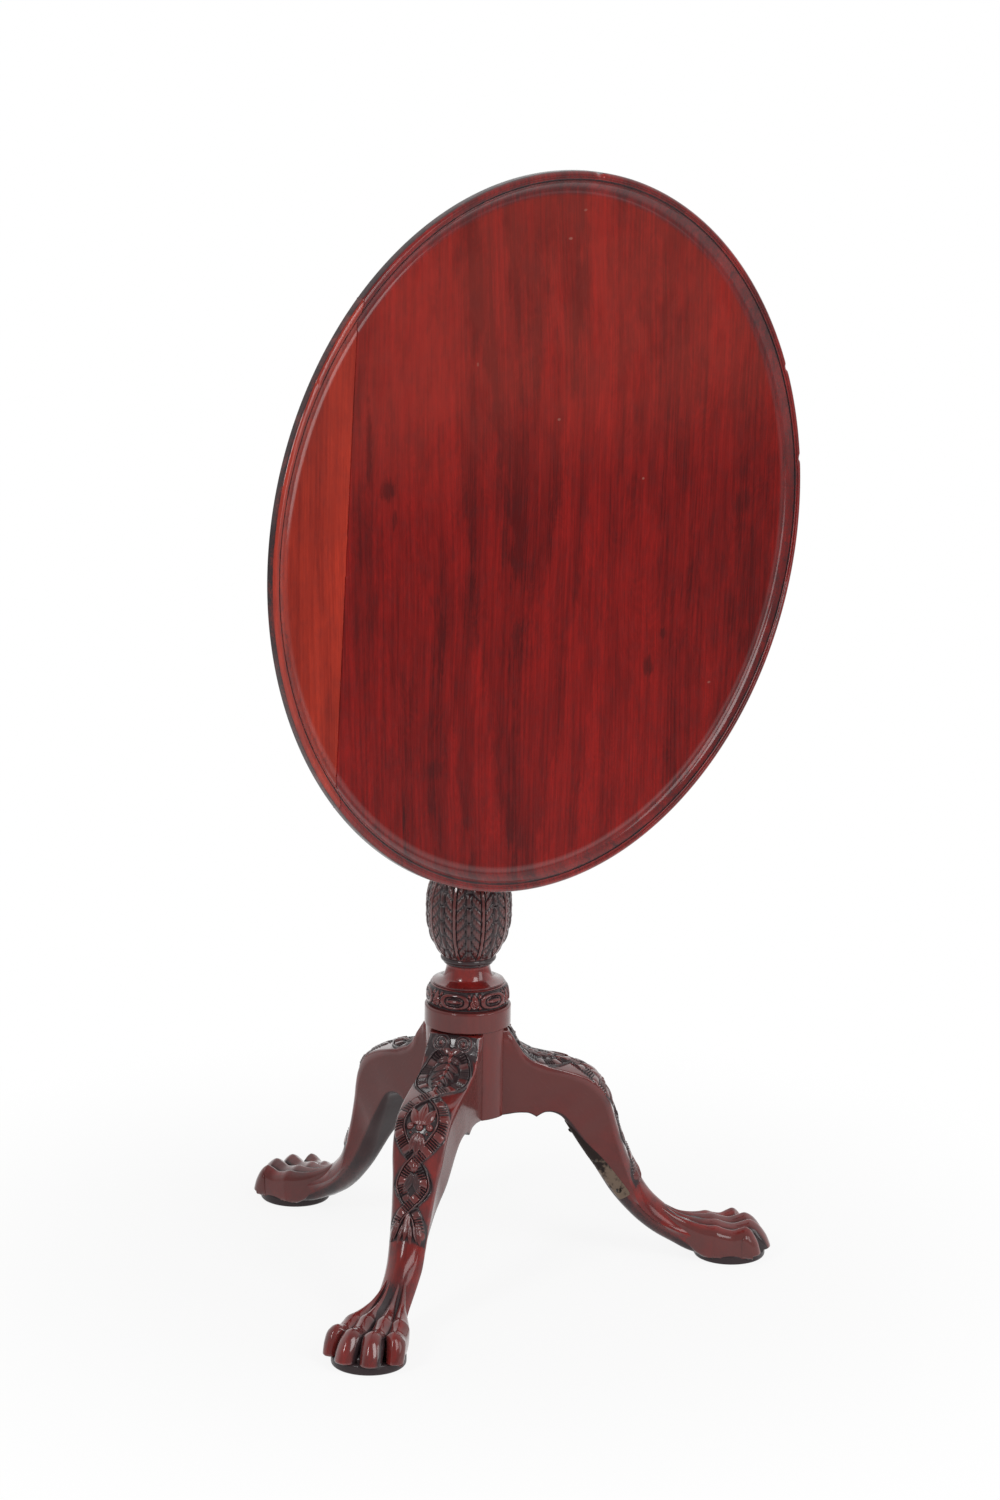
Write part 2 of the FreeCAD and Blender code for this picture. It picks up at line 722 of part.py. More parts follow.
def foot_pad():
    pad = Part.makeCylinder(pad_radius, pad_height, Vector(pad_reach, 0, 0))
    rims = [edge for edge in pad.Edges if edge.Closed]
    return pad.makeFillet(pad_round, rims)


def cusp():
    """The small pointed drop on the leg's lower edge, near the column."""
    station = leg_station_shares[4]
    middle = leg_point(station[2], station[3])
    half = leg_thickness / 2 - arris
    points = [middle + Vector(-cusp_half_width, -half, arris), middle + Vector(cusp_half_width, -half, arris),
              middle + Vector(0, -half, -cusp_drop)]
    hollow = cusp_drop / 3
    left_middle = (points[0] + points[2]) / 2 + Vector(0, 0, hollow)
    right_middle = (points[1] + points[2]) / 2 + Vector(0, 0, hollow)
    edges = [line(points[0], points[1]), arc(points[1], right_middle, points[2]),
             arc(points[2], left_middle, points[0])]
    return Part.Face(Part.Wire(edges)).extrude(Vector(0, 2 * half, 0))


def plain_leg():
    """A whole leg along the X axis: dovetail tongue, cabriole leg, paw and round pad."""
    blade = Part.makeLoft([leg_section(station) for station in leg_station_shares], True, False)
    above = box_between((0, -leg_thickness, drum_bottom), (pad_reach, leg_thickness, drum_top))
    pieces = [tongue_prism(0.0, 0.0, arris), cusp(), foot_pad()]
    for places in toe_shares:
        for side in (-1, 1):
            pieces += toe(places, side)
    return blade.cut(above).fuse(pieces)


def strap_frame(station):
    """The middle of a strap section, its width direction and its outward direction."""
    run_share, height_share, side_share, roll = station
    first, last = strap_station_shares[0], strap_station_shares[-1]
    along = (leg_point(last[0], last[1]) - leg_point(first[0], first[1])).normalize()
    under = Vector(along.z, 0, -along.x)
    outward_side = Vector(0, -1, 0)
    angle = math.radians(roll)
    out = outward_side * math.cos(angle) + under * math.sin(angle)
    across = outward_side * -math.sin(angle) + under * math.cos(angle)
    return leg_point(run_share, height_share, side_share * leg_thickness), across, out


def strap_body(grow, outwards):
    """The strap, or grown and with outwards set the space that it is let into."""
    sections = []
    half = strap_width / 2 + grow
    low = -strap_thickness - grow
    for station in strap_station_shares:
        middle, across, out = strap_frame(station)
        corners = [middle + across * half + out * low, middle + across * half + out * outwards,
                   middle - across * half + out * outwards, middle - across * half + out * low]
        sections.append(Part.makePolygon(corners + corners[:1]))
    return Part.makeLoft(sections, True, True)


def strap_screw_tools(tool):
    """Copies a screw or its hole to each screw's place on the strap."""
    placed = []
    last = len(strap_station_shares) - 1
    for share in strap_screw_shares:
        place = share * last
        index = min(int(place), last - 1)
        blend = place - index
        before, after = strap_station_shares[index:index + 2]
        station = [a + (b - a) * blend for a, b in zip(before, after)]
        middle, across, out = strap_frame(station)
        placed.append(aimed(tool, middle, out))
    return placed


def main():
    os.makedirs("parts", exist_ok=True)

    small_hole = small_screw_hole(small_screw_length)
    screw = small_screw(small_screw_length)
    top = whole_top()
    pilots = upward_screws(long_screw_hole(arris)) + downward_screws(small_hole, catch_screw_places())
    top = top.cut(pilots)
    long_screw = slotted_screw(long_screw_radius, long_screw_head_radius, long_screw_head_height,
                               long_screw_length())
    hinged = {
        "top_main_board": top.cut(seam_side()),
        "top_side_board": top.common(seam_side()),
        "bearer_left": bearer(-1),
        "bearer_right": bearer(1),
        "bearer_screws": Part.makeCompound(upward_screws(long_screw)),
        "catch_plate": catch_plate(),
        "catch_housing": catch_housing(),
        "catch_bolt": catch_bolt(),
        "catch_knob": catch_knob(),
        "catch_spring": catch_spring(),
        "catch_screws": Part.makeCompound(downward_screws(screw, catch_screw_places())),
    }
    for node, shape in hinged.items():
        save(tilted_up(shape), node)

    save(pivot_block(), "pivot_block")
    save(strike_plate(), "strike_plate")
    save(Part.makeCompound(backward_screws(screw)), "strike_screws")
    save(column(), "column")
    save(tenon_wedge(), "tenon_wedge")

    leg = plain_leg()
    strap_holes = strap_screw_tools(small_screw_hole(strap_screw_length))
    strap = strap_body(0.0, 0.0).cut(strap_holes)
    strap_screws = Part.makeCompound(strap_screw_tools(small_screw(strap_screw_length)))
    mended_leg = leg.cut([strap_body(glue_gap, 2 * overrun)] + strap_holes)
    save(toward(leg, front_left_leg_degrees), "leg_front_left")
    save(toward(leg, back_leg_degrees), "leg_back")
    save(toward(mended_leg, front_right_leg_degrees), "leg_front_right")
    save(toward(strap, front_right_leg_degrees), "repair_strap")
    save(toward(strap_screws, front_right_leg_degrees), "strap_screws")


main()
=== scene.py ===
"""The looks of a tilt-top tripod table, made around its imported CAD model."""

import math

import bmesh
import bpy
import numpy as np
from bpy.props import FloatProperty, FloatVectorProperty, IntProperty, PointerProperty
from mathutils import Matrix, Vector
from mathutils.bvhtree import BVHTree


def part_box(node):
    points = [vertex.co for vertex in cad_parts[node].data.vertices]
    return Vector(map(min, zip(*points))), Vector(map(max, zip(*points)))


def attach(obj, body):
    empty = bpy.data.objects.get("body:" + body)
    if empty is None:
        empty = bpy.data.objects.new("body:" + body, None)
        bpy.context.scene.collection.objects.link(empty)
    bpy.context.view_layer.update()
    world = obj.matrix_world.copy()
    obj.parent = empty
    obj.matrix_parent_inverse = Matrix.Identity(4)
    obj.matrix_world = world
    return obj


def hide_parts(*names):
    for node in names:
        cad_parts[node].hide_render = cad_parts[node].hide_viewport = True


bl_info = {
    "name": "Tripod Table Looks",
    "version": (1, 0, 0),
    "blender": (4, 5, 0),
    "location": "3D View > Sidebar > Table",
    "description": "Carved legs, turned column, dished top, brass catch and studio of a tilt-top table",
    "category": "Add Mesh",
}

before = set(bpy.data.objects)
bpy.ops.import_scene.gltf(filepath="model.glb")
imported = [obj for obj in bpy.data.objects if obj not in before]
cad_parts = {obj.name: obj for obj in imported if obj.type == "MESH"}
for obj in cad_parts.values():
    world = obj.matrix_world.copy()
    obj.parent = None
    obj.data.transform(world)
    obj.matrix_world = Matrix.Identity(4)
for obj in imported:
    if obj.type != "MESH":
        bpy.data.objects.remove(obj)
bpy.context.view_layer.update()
MM = 0.001
CAMERA_BEARING = math.radians(227.0)


# Settings

def a_length(name, text, value):
    return FloatProperty(name=name, description=text, default=value, unit="LENGTH")


def an_angle(name, text, value):
    return FloatProperty(name=name, description=text, default=value, subtype="ANGLE")


def an_amount(name, text, value):
    return FloatProperty(name=name, description=text, default=value, min=0.0)


def a_colour(name, text, value):
    return FloatVectorProperty(name=name, description=text, default=value, subtype="COLOR")


def a_count(name, text, value):
    return IntProperty(name=name, description=text, default=value, min=3)


class StageSettings(bpy.types.PropertyGroup):
    camera_distance: a_length("Camera distance", "From the column's axis, on the floor plan", 4.398)
    camera_height: a_length("Camera height", "Above the floor", 1.6524)
    camera_turn: an_angle("Camera turn", "Round the column from the top's face", -0.7507)
    camera_pitch: an_angle("Camera pitch", "How far the camera looks down", 0.2496)
    camera_yaw: an_angle("Camera yaw", "Off the column's axis", 0.0064)
    camera_roll: an_angle("Camera roll", "Of the frame", 0.0137)
    lens: an_amount("Lens", "Focal length for a 36 mm tall picture", 112.76)
    softbox_power: an_amount("Softbox power", "In watts, and each lamp takes a share of it", 19.0)
    white_floor: a_length("White floor", "How far the white floor reaches in reflections", 1.3)
    room_light: an_amount("Room light", "Strength of the even light from all sides", 0.36)
    dim_side: an_amount("Dim side", "How bright the room's front is in reflections", 0.4)


class LegSettings(bpy.types.PropertyGroup):
    relief: a_length("Relief", "How far the ribbons stand above their ground", 0.0031)
    ground_sink: a_length("Ground sink", "How far the ground lies below the leg's line", 0.0009)
    turn: an_angle("Turn", "Of the three legs together", math.radians(-2.3))
    rows: a_count("Rows", "Rings along the carved part of a leg", 500)


class ColumnSettings(bpy.types.PropertyGroup):
    leaf_relief: a_length("Leaf relief", "Depth of the leaves on the urn", 0.0024)
    band_relief: a_length("Band relief", "Depth of the carved band", 0.0022)
    leaves: a_count("Leaves", "Leaves round the urn", 9)
    cartouches: a_count("Cartouches", "Framed panels round the band", 6)
    columns: a_count("Columns", "Points round the column", 400)


class TopSettings(bpy.types.PropertyGroup):
    waviness: a_length("Waviness", "How uneven the old boards are", 0.00018)
    seam_depth: a_length("Seam depth", "Of the groove at the glued seam", 0.0007)
    side_board_width: a_length("Side board width", "From the rim to the seam", 0.0927)
    seam_lean: an_angle("Seam lean", "How far the seam leans", math.radians(3.1))


class FinishSettings(bpy.types.PropertyGroup):
    mahogany: a_colour("Mahogany", "The lighter grain of the top's red wood", (0.325, 0.0124, 0.0098))
    mahogany_dark: a_colour("Dark mahogany", "The darker grain of the top's red wood",
                            (0.090, 0.0055, 0.0055))
    sunned_wood: a_colour("Sunned wood", "Of the top's paler upper part", (0.60, 0.10, 0.07))
    old_wood: a_colour("Old wood", "The lighter grain of the legs and column", (0.290, 0.0200, 0.0150))
    old_wood_dark: a_colour("Dark old wood", "The darker grain of the legs and column",
                            (0.115, 0.0120, 0.0115))
    # Hazed wood is partly grey old wax and partly a painted reflection: the pale sheen of plain sides, raised
    # carving, toes and column, put into the colour.
    hazed_wood_and_painted_sheen: a_colour("Hazed wood", "Plain sides whose old wax has gone grey", (0.130, 0.036, 0.033))
    side_board: a_colour("Side board", "The orange-red grain of the side board", (0.47, 0.040, 0.020))
    side_board_dark: a_colour("Dark side board", "The darker grain of the side board", (0.23, 0.019, 0.012))
    patina: a_colour("Patina", "Old polish in the carving's hollows", (0.034, 0.0200, 0.0225))
    brass: a_colour("Brass", "Worn bright brass", (0.66, 0.43, 0.16))
    tarnish: a_colour("Tarnish", "Old brass that has gone brown", (0.12, 0.070, 0.030))
    old_brass: a_colour("Strap brass", "The strap's brass, gone grey", (0.165, 0.121, 0.092))
    old_tarnish: a_colour("Strap tarnish", "The strap's darkest brass", (0.040, 0.030, 0.028))
    iron: a_colour("Iron", "Blackened screw iron", (0.10, 0.092, 0.085))
    rust: a_colour("Rust", "Screw iron at its darkest", (0.03, 0.022, 0.018))
    steel: a_colour("Steel", "The catch spring's steel", (0.42, 0.41, 0.40))
    dull_steel: a_colour("Dull steel", "The spring's steel where it has browned", (0.12, 0.08, 0.05))
    stain: a_colour("Stain", "Rings and spills on the top", (0.030, 0.0065, 0.0070))
    chip: a_colour("Chip", "Small bare chips on the top", (0.30, 0.11, 0.085))


# Shapes in numbers

def glide(knots, places):
    """Smooth values between rows of knots, whose first column is the place."""
    knots = np.asarray(knots, float)
    x, y = knots[:, 0], knots[:, 1:]
    places = np.asarray(places, float)
    slope = np.gradient(y, x, axis=0)
    i = np.clip(np.searchsorted(x, places) - 1, 0, len(x) - 2)
    step = (x[i + 1] - x[i])[..., None]
    t = np.clip((places - x[i])[..., None] / step, 0, 1)
    values = (2 * t ** 3 - 3 * t ** 2 + 1) * y[i] + (3 * t ** 2 - 2 * t ** 3) * y[i + 1]
    values += (t ** 3 - 2 * t ** 2 + t) * slope[i] * step + (t ** 3 - t ** 2) * slope[i + 1] * step
    return values[..., 0] if y.shape[1] == 1 else values


def ease(low, high, x):
    """0 below low, 1 above high and a smooth step between."""
    t = np.clip((x - low) / (high - low), 0, 1)
    return t * t * (3 - 2 * t)


def fade(low, high, x):
    """1 below low, 0 above high and a smooth step between."""
    return 1 - ease(low, high, x)


def arc_through(start, middle, end, count):
    """Points on the circle through three places, without the first."""
    (ax, ay), (bx, by), (cx, cy) = start, middle, end
    d = 2 * (ax * (by - cy) + bx * (cy - ay) + cx * (ay - by))
    a2, b2, c2 = ax * ax + ay * ay, bx * bx + by * by, cx * cx + cy * cy
    ux = (a2 * (by - cy) + b2 * (cy - ay) + c2 * (ay - by)) / d
    uy = (a2 * (cx - bx) + b2 * (ax - cx) + c2 * (bx - ax)) / d
    radius = math.hypot(ax - ux, ay - uy)
    first = math.atan2(ay - uy, ax - ux)
    whole = 2 * math.pi
    to_middle = (math.atan2(by - uy, bx - ux) - first) % whole
    to_end = (math.atan2(cy - uy, cx - ux) - first) % whole
    sweep = to_end if to_middle < to_end else to_end - whole
    turns = [first + sweep * i / count for i in range(1, count + 1)]
    return [(ux + radius * math.cos(turn), uy + radius * math.sin(turn)) for turn in turns]


def ripple(points, size, seed):
    """A smooth uneven field from a few crossing waves, about -1 to 1."""
    dice = np.random.default_rng(seed)
    total = np.zeros(points.shape[:-1])
    for _ in range(9):
        direction = dice.normal(size=3)
        direction /= np.linalg.norm(direction)
        pace = 2 * math.pi / (size * dice.uniform(0.5, 1.6))
        total += np.sin(points @ direction * pace + dice.uniform(0, 7)) * dice.uniform(0.4, 1)
    return total / 3.2


def along_rows(rows, shares):
    """Smooth values at shares of the way through evenly spaced rows of knots."""
    knots = [(number,) + row for number, row in enumerate(rows)]
    return glide(knots, np.asarray(shares) * (len(rows) - 1))


def unit(vectors):
    """Each vector at length 1."""
    return vectors / np.linalg.norm(vectors, axis=1)[:, None]


# Meshes

def with_ends(rings):
    """The values on all rings in one list, and after them the first ring's mean and the last's."""
    ends = [rings[k].mean(axis=0)[None] for k in (0, -1)]
    return np.concatenate([rings.reshape((-1,) + rings.shape[2:])] + ends)


def set_mark(mesh, name, values):
    """Stores a number or a vector for each point of a mesh."""
    kind, key = ("FLOAT", "value") if values.ndim == 1 else ("FLOAT_VECTOR", "vector")
    mesh.attributes.new(name, kind, "POINT").data.foreach_set(key, values.ravel())


def linked(name, data):
    """A new object in the scene."""
    piece = bpy.data.objects.new(name, data)
    bpy.context.scene.collection.objects.link(piece)
    return piece


def smoothed(piece, sharp_degrees):
    """Shades a piece smoothly up to an angle."""
    piece.data.shade_smooth()
    piece.data.set_sharp_from_angle(angle=math.radians(sharp_degrees))
    return piece


def finished(piece, material, sharp_degrees):
    """Gives a piece its one material and smooth shading."""
    piece.data.materials.clear()
    piece.data.materials.append(bpy.data.materials[material])
    return smoothed(piece, sharp_degrees)


def stands_for(piece, node, body):
    """Hangs a piece on the body it moves with and hides the CAD node that it is the look of."""
    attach(piece, body)
    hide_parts(node)


class Skin:
    """Closed shells of one object: their points in millimetres, faces and point marks."""

    def __init__(self):
        self.points, self.faces, self.marks = [], [], {}
        self.count = 0

    def add_tube(self, points, **marks):
        """Adds rings of points as one closed shell whose faces look outwards."""
        rows, columns = points.shape[:2]
        ring = np.arange(columns)
        after = (ring + 1) % columns
        base = np.arange(rows - 1)[:, None] * columns
        quads = np.stack([base + ring, base + after, base + columns + after, base + columns + ring], -1)
        quads = quads.reshape(-1, 4)
        last = (rows - 1) * columns
        start = np.stack([np.full(columns, rows * columns), after, ring], -1)
        end = np.stack([np.full(columns, rows * columns + 1), last + ring, last + after], -1)
        everything = with_ends(points)
        triangles = np.concatenate([quads[:, [0, 1, 2]], quads[:, [0, 2, 3]], start, end])
        a, b, c = (everything[triangles[:, k]] for k in range(3))
        if np.einsum("ij,ij->i", a, np.cross(b, c)).sum() < 0:
            quads, start, end = quads[:, ::-1], start[:, ::-1], end[:, ::-1]
        for name, values in marks.items():
            values = np.broadcast_to(values, points.shape[:2] + np.shape(values)[2:])
            self.marks.setdefault(name, []).append(with_ends(values))
        for block in (quads, start, end):
            self.faces.extend((block + self.count).tolist())
        self.points.append(everything)
        self.count += len(everything)

    def make(self, name, material, sharp_degrees=50):
        """Makes the object, in metres."""
        mesh = bpy.data.meshes.new(name)
        mesh.from_pydata((np.concatenate(self.points) * MM).tolist(), [], self.faces)
        for mark, values in self.marks.items():
            set_mark(mesh, mark, np.concatenate(values))
        return finished(linked(name, mesh), material, sharp_degrees)


def turned_about_z(points, angle):
    """Turns an array of points about the Z axis."""
    c, s = math.cos(angle), math.sin(angle)
    x, y, z = points[..., 0], points[..., 1], points[..., 2]
    return np.stack([x * c - y * s, x * s + y * c, z], -1)


def plain_mesh(piece):
    """Turns an object with live modifiers into a plain mesh."""
    held = bpy.context.evaluated_depsgraph_get()
    mesh = bpy.data.meshes.new_from_object(piece.evaluated_get(held))
    piece.modifiers.clear()
    piece.data = mesh


def mesh_from(work, name):
    """A mesh from what was worked on, which is then let go."""
    mesh = bpy.data.meshes.new(name)
    work.to_mesh(mesh)
    work.free()
    return mesh


def softened_copy(node, name, material, width, grain):
    """A copy of a CAD node with its doubles merged and its edges rounded, for the plain wood."""
    work = bmesh.new()
    work.from_mesh(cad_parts[node].data)
    bmesh.ops.remove_doubles(work, verts=work.verts, dist=0.00001)
    bmesh.ops.dissolve_limit(work, angle_limit=math.radians(1.0), verts=work.verts, edges=work.edges)
    piece = linked(name, mesh_from(work, name))
    bevel = piece.modifiers.new("Edges", "BEVEL")
    bevel.width = width
    bevel.segments = 2
    bevel.limit_method = "ANGLE"
    bevel.angle_limit = math.radians(35)
    plain_mesh(piece)
    places = np.array([tuple(vertex.co) for vertex in piece.data.vertices])
    set_mark(piece.data, "wood_place", places[:, grain] / MM)
    return finished(piece, material, 40)


# Shader nodes

class Value:
    """What a node puts out, with the plain signs for sums of numbers."""

    def __init__(self, weave, socket):
        self.weave, self.socket = weave, socket

    def __add__(self, other):
        return self.weave.sum("ADD", self, other)

    def __sub__(self, other):
        return self.weave.sum("SUBTRACT", self, other)

    def __rsub__(self, other):
        return self.weave.sum("SUBTRACT", other, self)

    def __mul__(self, other):
        return self.weave.sum("MULTIPLY", self, other)


class Made:
    """A node in a weave, whose outputs are read by name or number."""

    def __init__(self, weave, node):
        self.weave, self.inputs, self.outputs = weave, node.inputs, node.outputs

    def __getitem__(self, key):
        return Value(self.weave, self.outputs[key])


class Weave:
    """A short way to write a node tree."""

    def __init__(self, tree):
        self.tree = tree

    def node(self, kind, inputs=None, **settings):
        made = self.tree.nodes.new(kind)
        for key, value in settings.items():
            setattr(made, key, value)
        for key, value in (inputs or {}).items():
            self.feed(value, made.inputs[key])
        return Made(self, made)

    def feed(self, value, socket):
        if isinstance(value, Value):
            self.tree.links.new(value.socket, socket)
        else:
            socket.default_value = value

    def sockets(self, way, listed):
        """Adds sockets to a group: each a name, a kind and perhaps a first value."""
        for name, kind, *first in listed:
            made = self.tree.interface.new_socket(name=name, in_out=way, socket_type="NodeSocket" + kind)
            for value in first:
                made.default_value = value

    def use(self, name, inputs):
        return self.node("ShaderNodeGroup", inputs, node_tree=bpy.data.node_groups[name])

    def mark(self, name, kind="Fac"):
        return self.node("ShaderNodeAttribute", attribute_name=name)[kind]

    def sum(self, operation, a, b=0.0, clamp=False):
        return self.node("ShaderNodeMath", {0: a, 1: b}, operation=operation, use_clamp=clamp)[0]

    def vector(self, operation, a, b=(0, 0, 0)):
        made = self.node("ShaderNodeVectorMath", {0: a, 1: b}, operation=operation)
        return made["Value" if operation in ("LENGTH", "DOT_PRODUCT") else "Vector"]

    def span(self, value, low, high, to_low=0.0, to_high=1.0):
        inputs = {"Value": value, "From Min": low, "From Max": high, "To Min": to_low, "To Max": to_high}
        return self.node("ShaderNodeMapRange", inputs, interpolation_type="SMOOTHSTEP")[0]

    def blend(self, share, a, b):
        return self.node("ShaderNodeMix", {0: share, 6: a, 7: b}, data_type="RGBA")[2]

    def noise(self, place, stretch, detail, rough, warp=0.0, scale=1.0):
        """Cloudy noise over a place that is stretched first."""
        place = self.node("ShaderNodeMapping", {"Vector": place, "Scale": stretch})[0]
        inputs = {"Vector": place, "Scale": scale, "Detail": detail, "Roughness": rough, "Distortion": warp}
        return self.node("ShaderNodeTexNoise", inputs)["Fac"]

    def surface(self, shader, colour, rough, height, strength, distance):
        """Feeds a shader's colour, roughness and fine relief."""
        bump = self.node("ShaderNodeBump", {"Height": height, "Strength": strength, "Distance": distance})
        for key, value in (("Base Color", colour), ("Roughness", rough), ("Normal", bump[0])):
            self.feed(value, shader.inputs[key])


def group(name, inputs, outputs):
    """A new shader group: its weave, what it is given and the sockets it feeds."""
    weave = Weave(bpy.data.node_groups.new(name, "ShaderNodeTree"))
    weave.sockets("INPUT", (("Place", "Vector"),) + inputs)
    weave.sockets("OUTPUT", outputs)
    return weave, weave.node("NodeGroupInput"), weave.node("NodeGroupOutput").inputs


def grain_group():
    """Long streaks, broad bands, figure and pores along the third axis of a place in millimetres."""
    weave, given, out = group(
        "Wood grain",
        (("Light", "Color"), ("Dark", "Color"), ("Band width", "Float"),
         ("Figure", "Float"), ("Arches", "Float")),
        (("Color", "Color"), ("Pores", "Float")))
    place = given["Place"]
    bent = weave.noise(place, (0.004, 0.004, 0.0016), 2.0, 0.5)
    shift = weave.node("ShaderNodeCombineXYZ", {"X": bent * 60.0})[0]
    moved = weave.vector("ADD", place, shift)
    per_band = weave.sum("DIVIDE", 1.0, given["Band width"])
    bands = weave.noise(moved, (1.0, 0.5, 0.07), 2.0, 0.45, scale=per_band)
    streaks = weave.noise(moved, (1.0, 1.0, 0.022), 6.0, 0.66, scale=0.3)
    figure = weave.noise(moved, (0.035, 0.035, 0.006), 2.0, 0.4, 1.5)
    rings = weave.sum("ABSOLUTE", weave.sum("SINE", figure * 46.0))
    pores = weave.span(weave.noise(place, (2.6, 2.6, 0.11), 2.0, 0.6), 0.56, 0.70)
    mottle = weave.noise(moved, (0.06, 0.06, 0.018), 5.0, 0.62)
    tone = weave.span(bands, 0.34, 0.66) * 0.44 + weave.span(streaks, 0.38, 0.62) * 0.30
    tone = tone + weave.span(mottle, 0.36, 0.64) * 0.26
    parts = weave.node("ShaderNodeSeparateXYZ", {0: moved})
    wide = weave.sum("SQRT", weave.sum("POWER", parts["X"], 2.0) + 500.0)
    phase = wide * 0.15 - parts["Z"] * 0.024 + mottle * 6.0
    arches = weave.span(weave.sum("SINE", phase), -0.2, 1.0) * weave.span(wide, 60.0, 150.0, 1.0, 0.0)
    tone = weave.sum("SUBTRACT", tone, arches * (given["Arches"] * 0.2), clamp=True)
    tone = weave.sum("SUBTRACT", tone, rings * given["Figure"] * 0.21, clamp=True)
    base = weave.blend(tone, given["Dark"], given["Light"])
    weave.feed(weave.blend(pores * 0.6, base, given["Dark"]), out["Color"])
    weave.feed(pores, out["Pores"])


def patina_group():
    """Darkens the hollows and the places that hands don't reach, veils hazed places with grey old wax and
    painted reflection, and gives the wear as a mask.
    """
    weave, given, out = group(
        "Old polish",
        (("Color", "Color"), ("Patina", "Color"), ("Haze color", "Color"), ("Grime", "Float"),
         ("Worn", "Float", 1.0), ("Recess", "Float", 0.0), ("Haze", "Float", 0.0)),
        (("Color", "Color"), ("Wear", "Float")))
    place, haze = given["Place"], given["Haze"]
    blots = weave.noise(place, (0.09, 0.09, 0.05), 4.0, 0.6)
    specks = weave.noise(place, (0.9, 0.9, 0.5), 3.0, 0.6)
    uneven = (blots - 0.5) * 0.9 + (specks - 0.5) * 0.7
    clear = 1.0 - haze * 0.85
    wear = weave.span(given["Worn"] + uneven * clear - given["Recess"] * 0.9, 0.12, 0.72)
    grime = weave.span(blots, 0.42, 0.72) * given["Grime"]
    # The veil stands partly for grey old wax and partly for a painted pale reflection: it blends towards the
    # haze colour where the haze mark is high.
    cloud = weave.noise(place, (0.035, 0.035, 0.022), 3.0, 0.55)
    veil = haze * weave.span(cloud, 0.25, 0.62, 0.62, 1.0)
    veiled = weave.blend(veil, given["Color"], given["Haze color"])
    weave.feed(weave.blend(wear * (1.0 - grime * clear), given["Patina"], veiled), out["Color"])
    weave.feed(wear, out["Wear"])


def metal_group():
    """Tarnish that gathers in blots, and rub marks, for brass and iron."""
    weave, given, out = group(
        "Metal wear",
        (("Bright", "Color"), ("Dull", "Color"), ("Tarnish", "Float")),
        (("Color", "Color"), ("Roughness", "Float"), ("Height", "Float")))
    blots = weave.noise(given["Place"], (160.0, 160.0, 160.0), 5.0, 0.65)
    scratches = weave.noise(given["Place"], (300.0, 2600.0, 2600.0), 2.0, 0.5)
    low = 0.78 - given["Tarnish"] * 0.6
    dull = weave.span(blots, low, low + 0.22)
    weave.feed(weave.blend(dull, given["Bright"], given["Dull"]), out["Color"])
    weave.feed(dull * 0.3 + scratches * 0.14 + 0.2, out["Roughness"])
    weave.feed(scratches + dull, out["Height"])


def mark_group():
    """A soft, ragged oval spot on the top's face: 1 at its middle and 0 past its size."""
    weave, given, out = group("Face mark", (("Middle", "Vector"), ("Size", "Vector")), (("Mask", "Float"),))
    off = weave.vector("SUBTRACT", given["Place"], given["Middle"])
    level = weave.vector("MULTIPLY", off, (1, 0, 1))
    far = weave.vector("LENGTH", weave.vector("DIVIDE", level, given["Size"]))
    ragged = weave.noise(given["Place"], (0.3, 0.3, 0.11), 4.0, 0.65)
    weave.feed(weave.span(far + ragged * 1.2, 0.95, 1.6, 1.0, 0.0), out["Mask"])


def new_material(name):
    """A material with its weave and its shader."""
    material = bpy.data.materials.new(name)
    material.use_nodes = True
    material.node_tree.nodes.clear()
    weave = Weave(material.node_tree)
    shader = weave.node("ShaderNodeBsdfPrincipled")
    weave.node("ShaderNodeOutputMaterial", {"Surface": shader[0]})
    return material, weave, shader


def opaque(colour):
    return tuple(colour) + (1.0,)


def marked(weave, place, colour, marks, other):
    """A colour with old marks on it: each a middle (x, z), half sizes and a strength."""
    total = 0.0
    for x, z, wide, tall, strength in marks:
        spot = weave.use("Face mark", {"Place": place, "Middle": (x, 0, z), "Size": (wide, 1, tall)})
        total = weave.sum("MAXIMUM", total, spot["Mask"] * strength)
    return weave.blend(total, colour, opaque(other))


def wood(name, light, dark, band_width, figure, grime, polish, gloss, sheen, carved=True, on_face=False):
    """Polished mahogany, with the patina of carved work where it is carved."""
    finish = bpy.context.scene.table_finish
    _, weave, shader = new_material(name)
    place = weave.mark("wood_place", "Vector")
    grain = weave.use("Wood grain", {"Place": place, "Light": opaque(light), "Dark": opaque(dark),
                                     "Band width": band_width, "Figure": figure, "Arches": float(on_face)})
    # Off the face the veil colour is hazed wood, partly a painted reflection; on the face it is sunned wood.
    veil_colour = finish.sunned_wood if on_face else finish.hazed_wood_and_painted_sheen
    inputs = {"Place": place, "Color": grain["Color"], "Patina": opaque(finish.patina), "Grime": grime,
              "Haze color": opaque(veil_colour)}
    if carved:
        inputs.update({key: weave.mark(key.lower()) for key in ("Worn", "Recess", "Haze")})
    old = weave.use("Old polish", inputs)
    colour = old["Color"]
    if on_face:
        colour = marked(weave, place, colour, DARK_MARKS, finish.stain)
        colour = marked(weave, place, colour, LIGHT_MARKS, finish.chip)
    fine = weave.noise(place, (1.2, 1.2, 0.35), 3.0, 0.6)
    rough = (1.0 - old["Wear"]) * 0.26 + gloss + grain["Pores"] * 0.12
    weave.surface(shader, colour, rough, fine * 0.5 - grain["Pores"] * 0.45, 0.12, 0.0004)
    coat = (old["Wear"] * 0.35 + 0.65) * polish
    if carved:
        coat = coat * weave.mark("shine")
    for key, value in (("Specular IOR Level", sheen), ("Coat Weight", coat), ("Coat IOR", 1.5),
                       ("Coat Roughness", 0.10)):
        weave.feed(value, shader.inputs[key])


